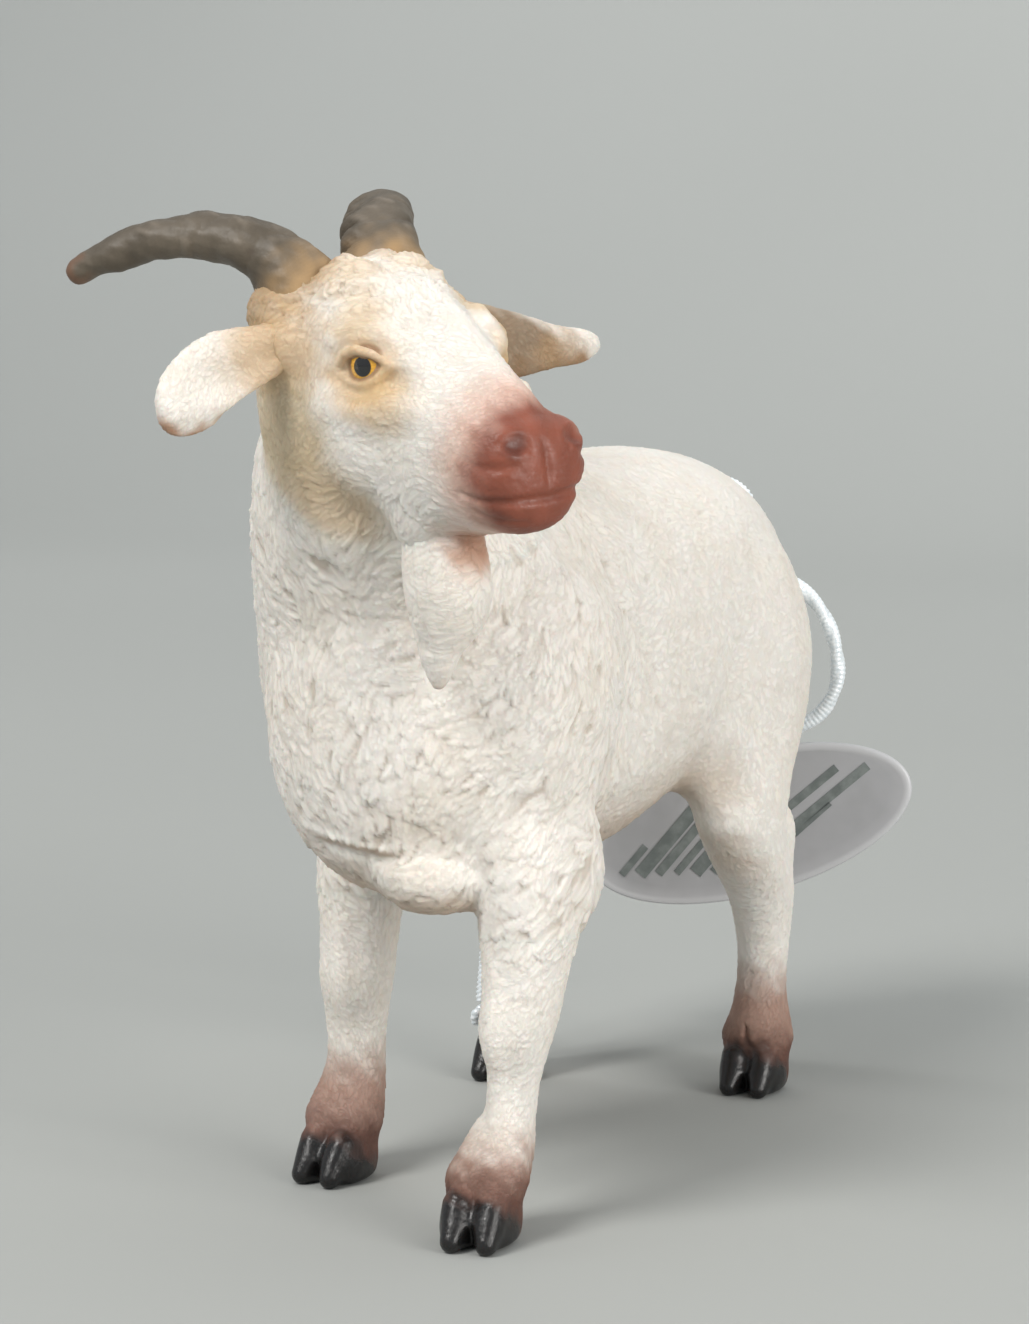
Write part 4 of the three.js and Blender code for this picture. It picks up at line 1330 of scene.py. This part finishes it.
def make_eye(side):
    """A glossy painted eye: amber iris, black pupil and a dark rim, in rings about the gaze."""
    gaze = unit(np.array([[-side * 1.0, -0.42, 0.05]]))[0]
    up = np.array([0.0, 0.0, 1.0])
    right = np.cross(up, gaze)
    right /= np.linalg.norm(right)
    up = np.cross(gaze, right)
    rings, around = 64, 72
    tilt = np.linspace(0, math.pi, rings + 1)[1:-1]
    turn = np.linspace(0, 2 * math.pi, around, endpoint=False)
    t, a = np.meshgrid(tilt, turn, indexing="ij")
    flat = np.sin(t)[..., None] * (np.cos(a)[..., None] * right + np.sin(a)[..., None] * up)
    shell = (flat + np.cos(t)[..., None] * gaze).reshape(-1, 3)
    shell = np.vstack([gaze, shell, -gaze])
    centre = EYE * (side, 1, 1)
    points = from_head(centre + shell * EYE_RADIUS)
    faces = [(0, 1 + j, 1 + (j + 1) % around) for j in range(around)]
    for i in range(rings - 2):
        a0, b0 = 1 + i * around, 1 + (i + 1) * around
        faces += [(a0 + j, b0 + j, b0 + (j + 1) % around, a0 + (j + 1) % around) for j in range(around)]
    last, base = len(points) - 1, 1 + (rings - 2) * around
    faces += [(last, base + (j + 1) % around, base + j) for j in range(around)]
    piece = make_object(("right" if side > 0 else "left") + "_eye", row(points), faces, eye_paint)
    angle = np.degrees(np.arccos(np.clip(shell @ gaze, -1, 1)))
    rays = 0.5 + 0.5 * np.sin(np.arctan2(shell @ up, shell @ right) * 23 + 2 * wobble(shell, 0.3, 41))
    pupil = step(angle, 27.5, 25.5)
    iris = np.array([0.8, 0.42, 0.04]) * (1 - 0.15 * rays[:, None])
    color = mixed(iris, (0.3, 0.13, 0.05), step(angle, 60.0, 72.0))
    color = mixed(color, (0.008, 0.008, 0.009), pupil)
    set_values(piece, "paint", color)
    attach(piece, "figure")


make_eye(1)
make_eye(-1)


# ---------------------------------------------------------------- floor and light
def make_stage():
    """A pale floor that curves up behind the goat into a plain backdrop."""
    n = Nodes("floor_paint")
    cloud = n.noise(2.0, 2.0, 0.5)
    color = n.mix(n.ramp(cloud, 0.3, 0.7), (0.375, 0.385, 0.37), (0.395, 0.405, 0.39))
    material = n.finish(color, 0.75, n.bump(n.noise(900.0, 2.0, 0.5), 0.05, 0.0001))
    profile = [(-1.4, 0.0), (0.6, 0.0)]
    profile += [(0.6 + 0.5 * math.sin(a), 0.5 - 0.5 * math.cos(a)) for a in np.linspace(0.1, 1.57, 16)]
    profile += [(1.1, 2.2)]
    points = [(x, y, z) for y, z in profile for x in (-2.0, 2.0)]
    faces = [(2 * i, 2 * i + 1, 2 * i + 3, 2 * i + 2) for i in range(len(profile) - 1)]
    floor = make_object("floor", points, faces, material)


def make_light(name, place, target, size, power, color=(1.0, 1.0, 1.0)):
    lamp = bpy.data.lights.new(name, "AREA")
    lamp.shape = "RECTANGLE"
    lamp.size, lamp.size_y = size
    lamp.energy = power
    lamp.color = color
    light = bpy.data.objects.new(name, lamp)
    light.location = place
    light.rotation_euler = (Vector(target) - Vector(place)).to_track_quat("-Z", "Y").to_euler()
    bpy.context.scene.collection.objects.link(light)


def make_world(strength):
    world = bpy.data.worlds.new("studio")
    world.use_nodes = True
    sky = world.node_tree.nodes["Background"]
    sky.inputs["Color"].default_value = (0.93, 0.97, 1.0, 1.0)
    sky.inputs["Strength"].default_value = strength
    bpy.context.scene.world = world


make_stage()
make_light("key", (-0.25, -0.62, 0.75), (0.0, 0.0, 0.04), (0.36, 0.36), 6.4, (1.0, 0.985, 0.96))
make_light("fill", (0.85, -0.3, 0.28), (0.0, 0.0, 0.05), (0.5, 0.4), 5.2, (1.0, 0.975, 0.94))
make_light("backdrop", (0.0, 0.55, 1.0), (0.0, 1.0, 0.5), (1.6, 0.5), 7.5)
make_world(0.52)
bpy.context.scene.view_settings.view_transform = "Standard"
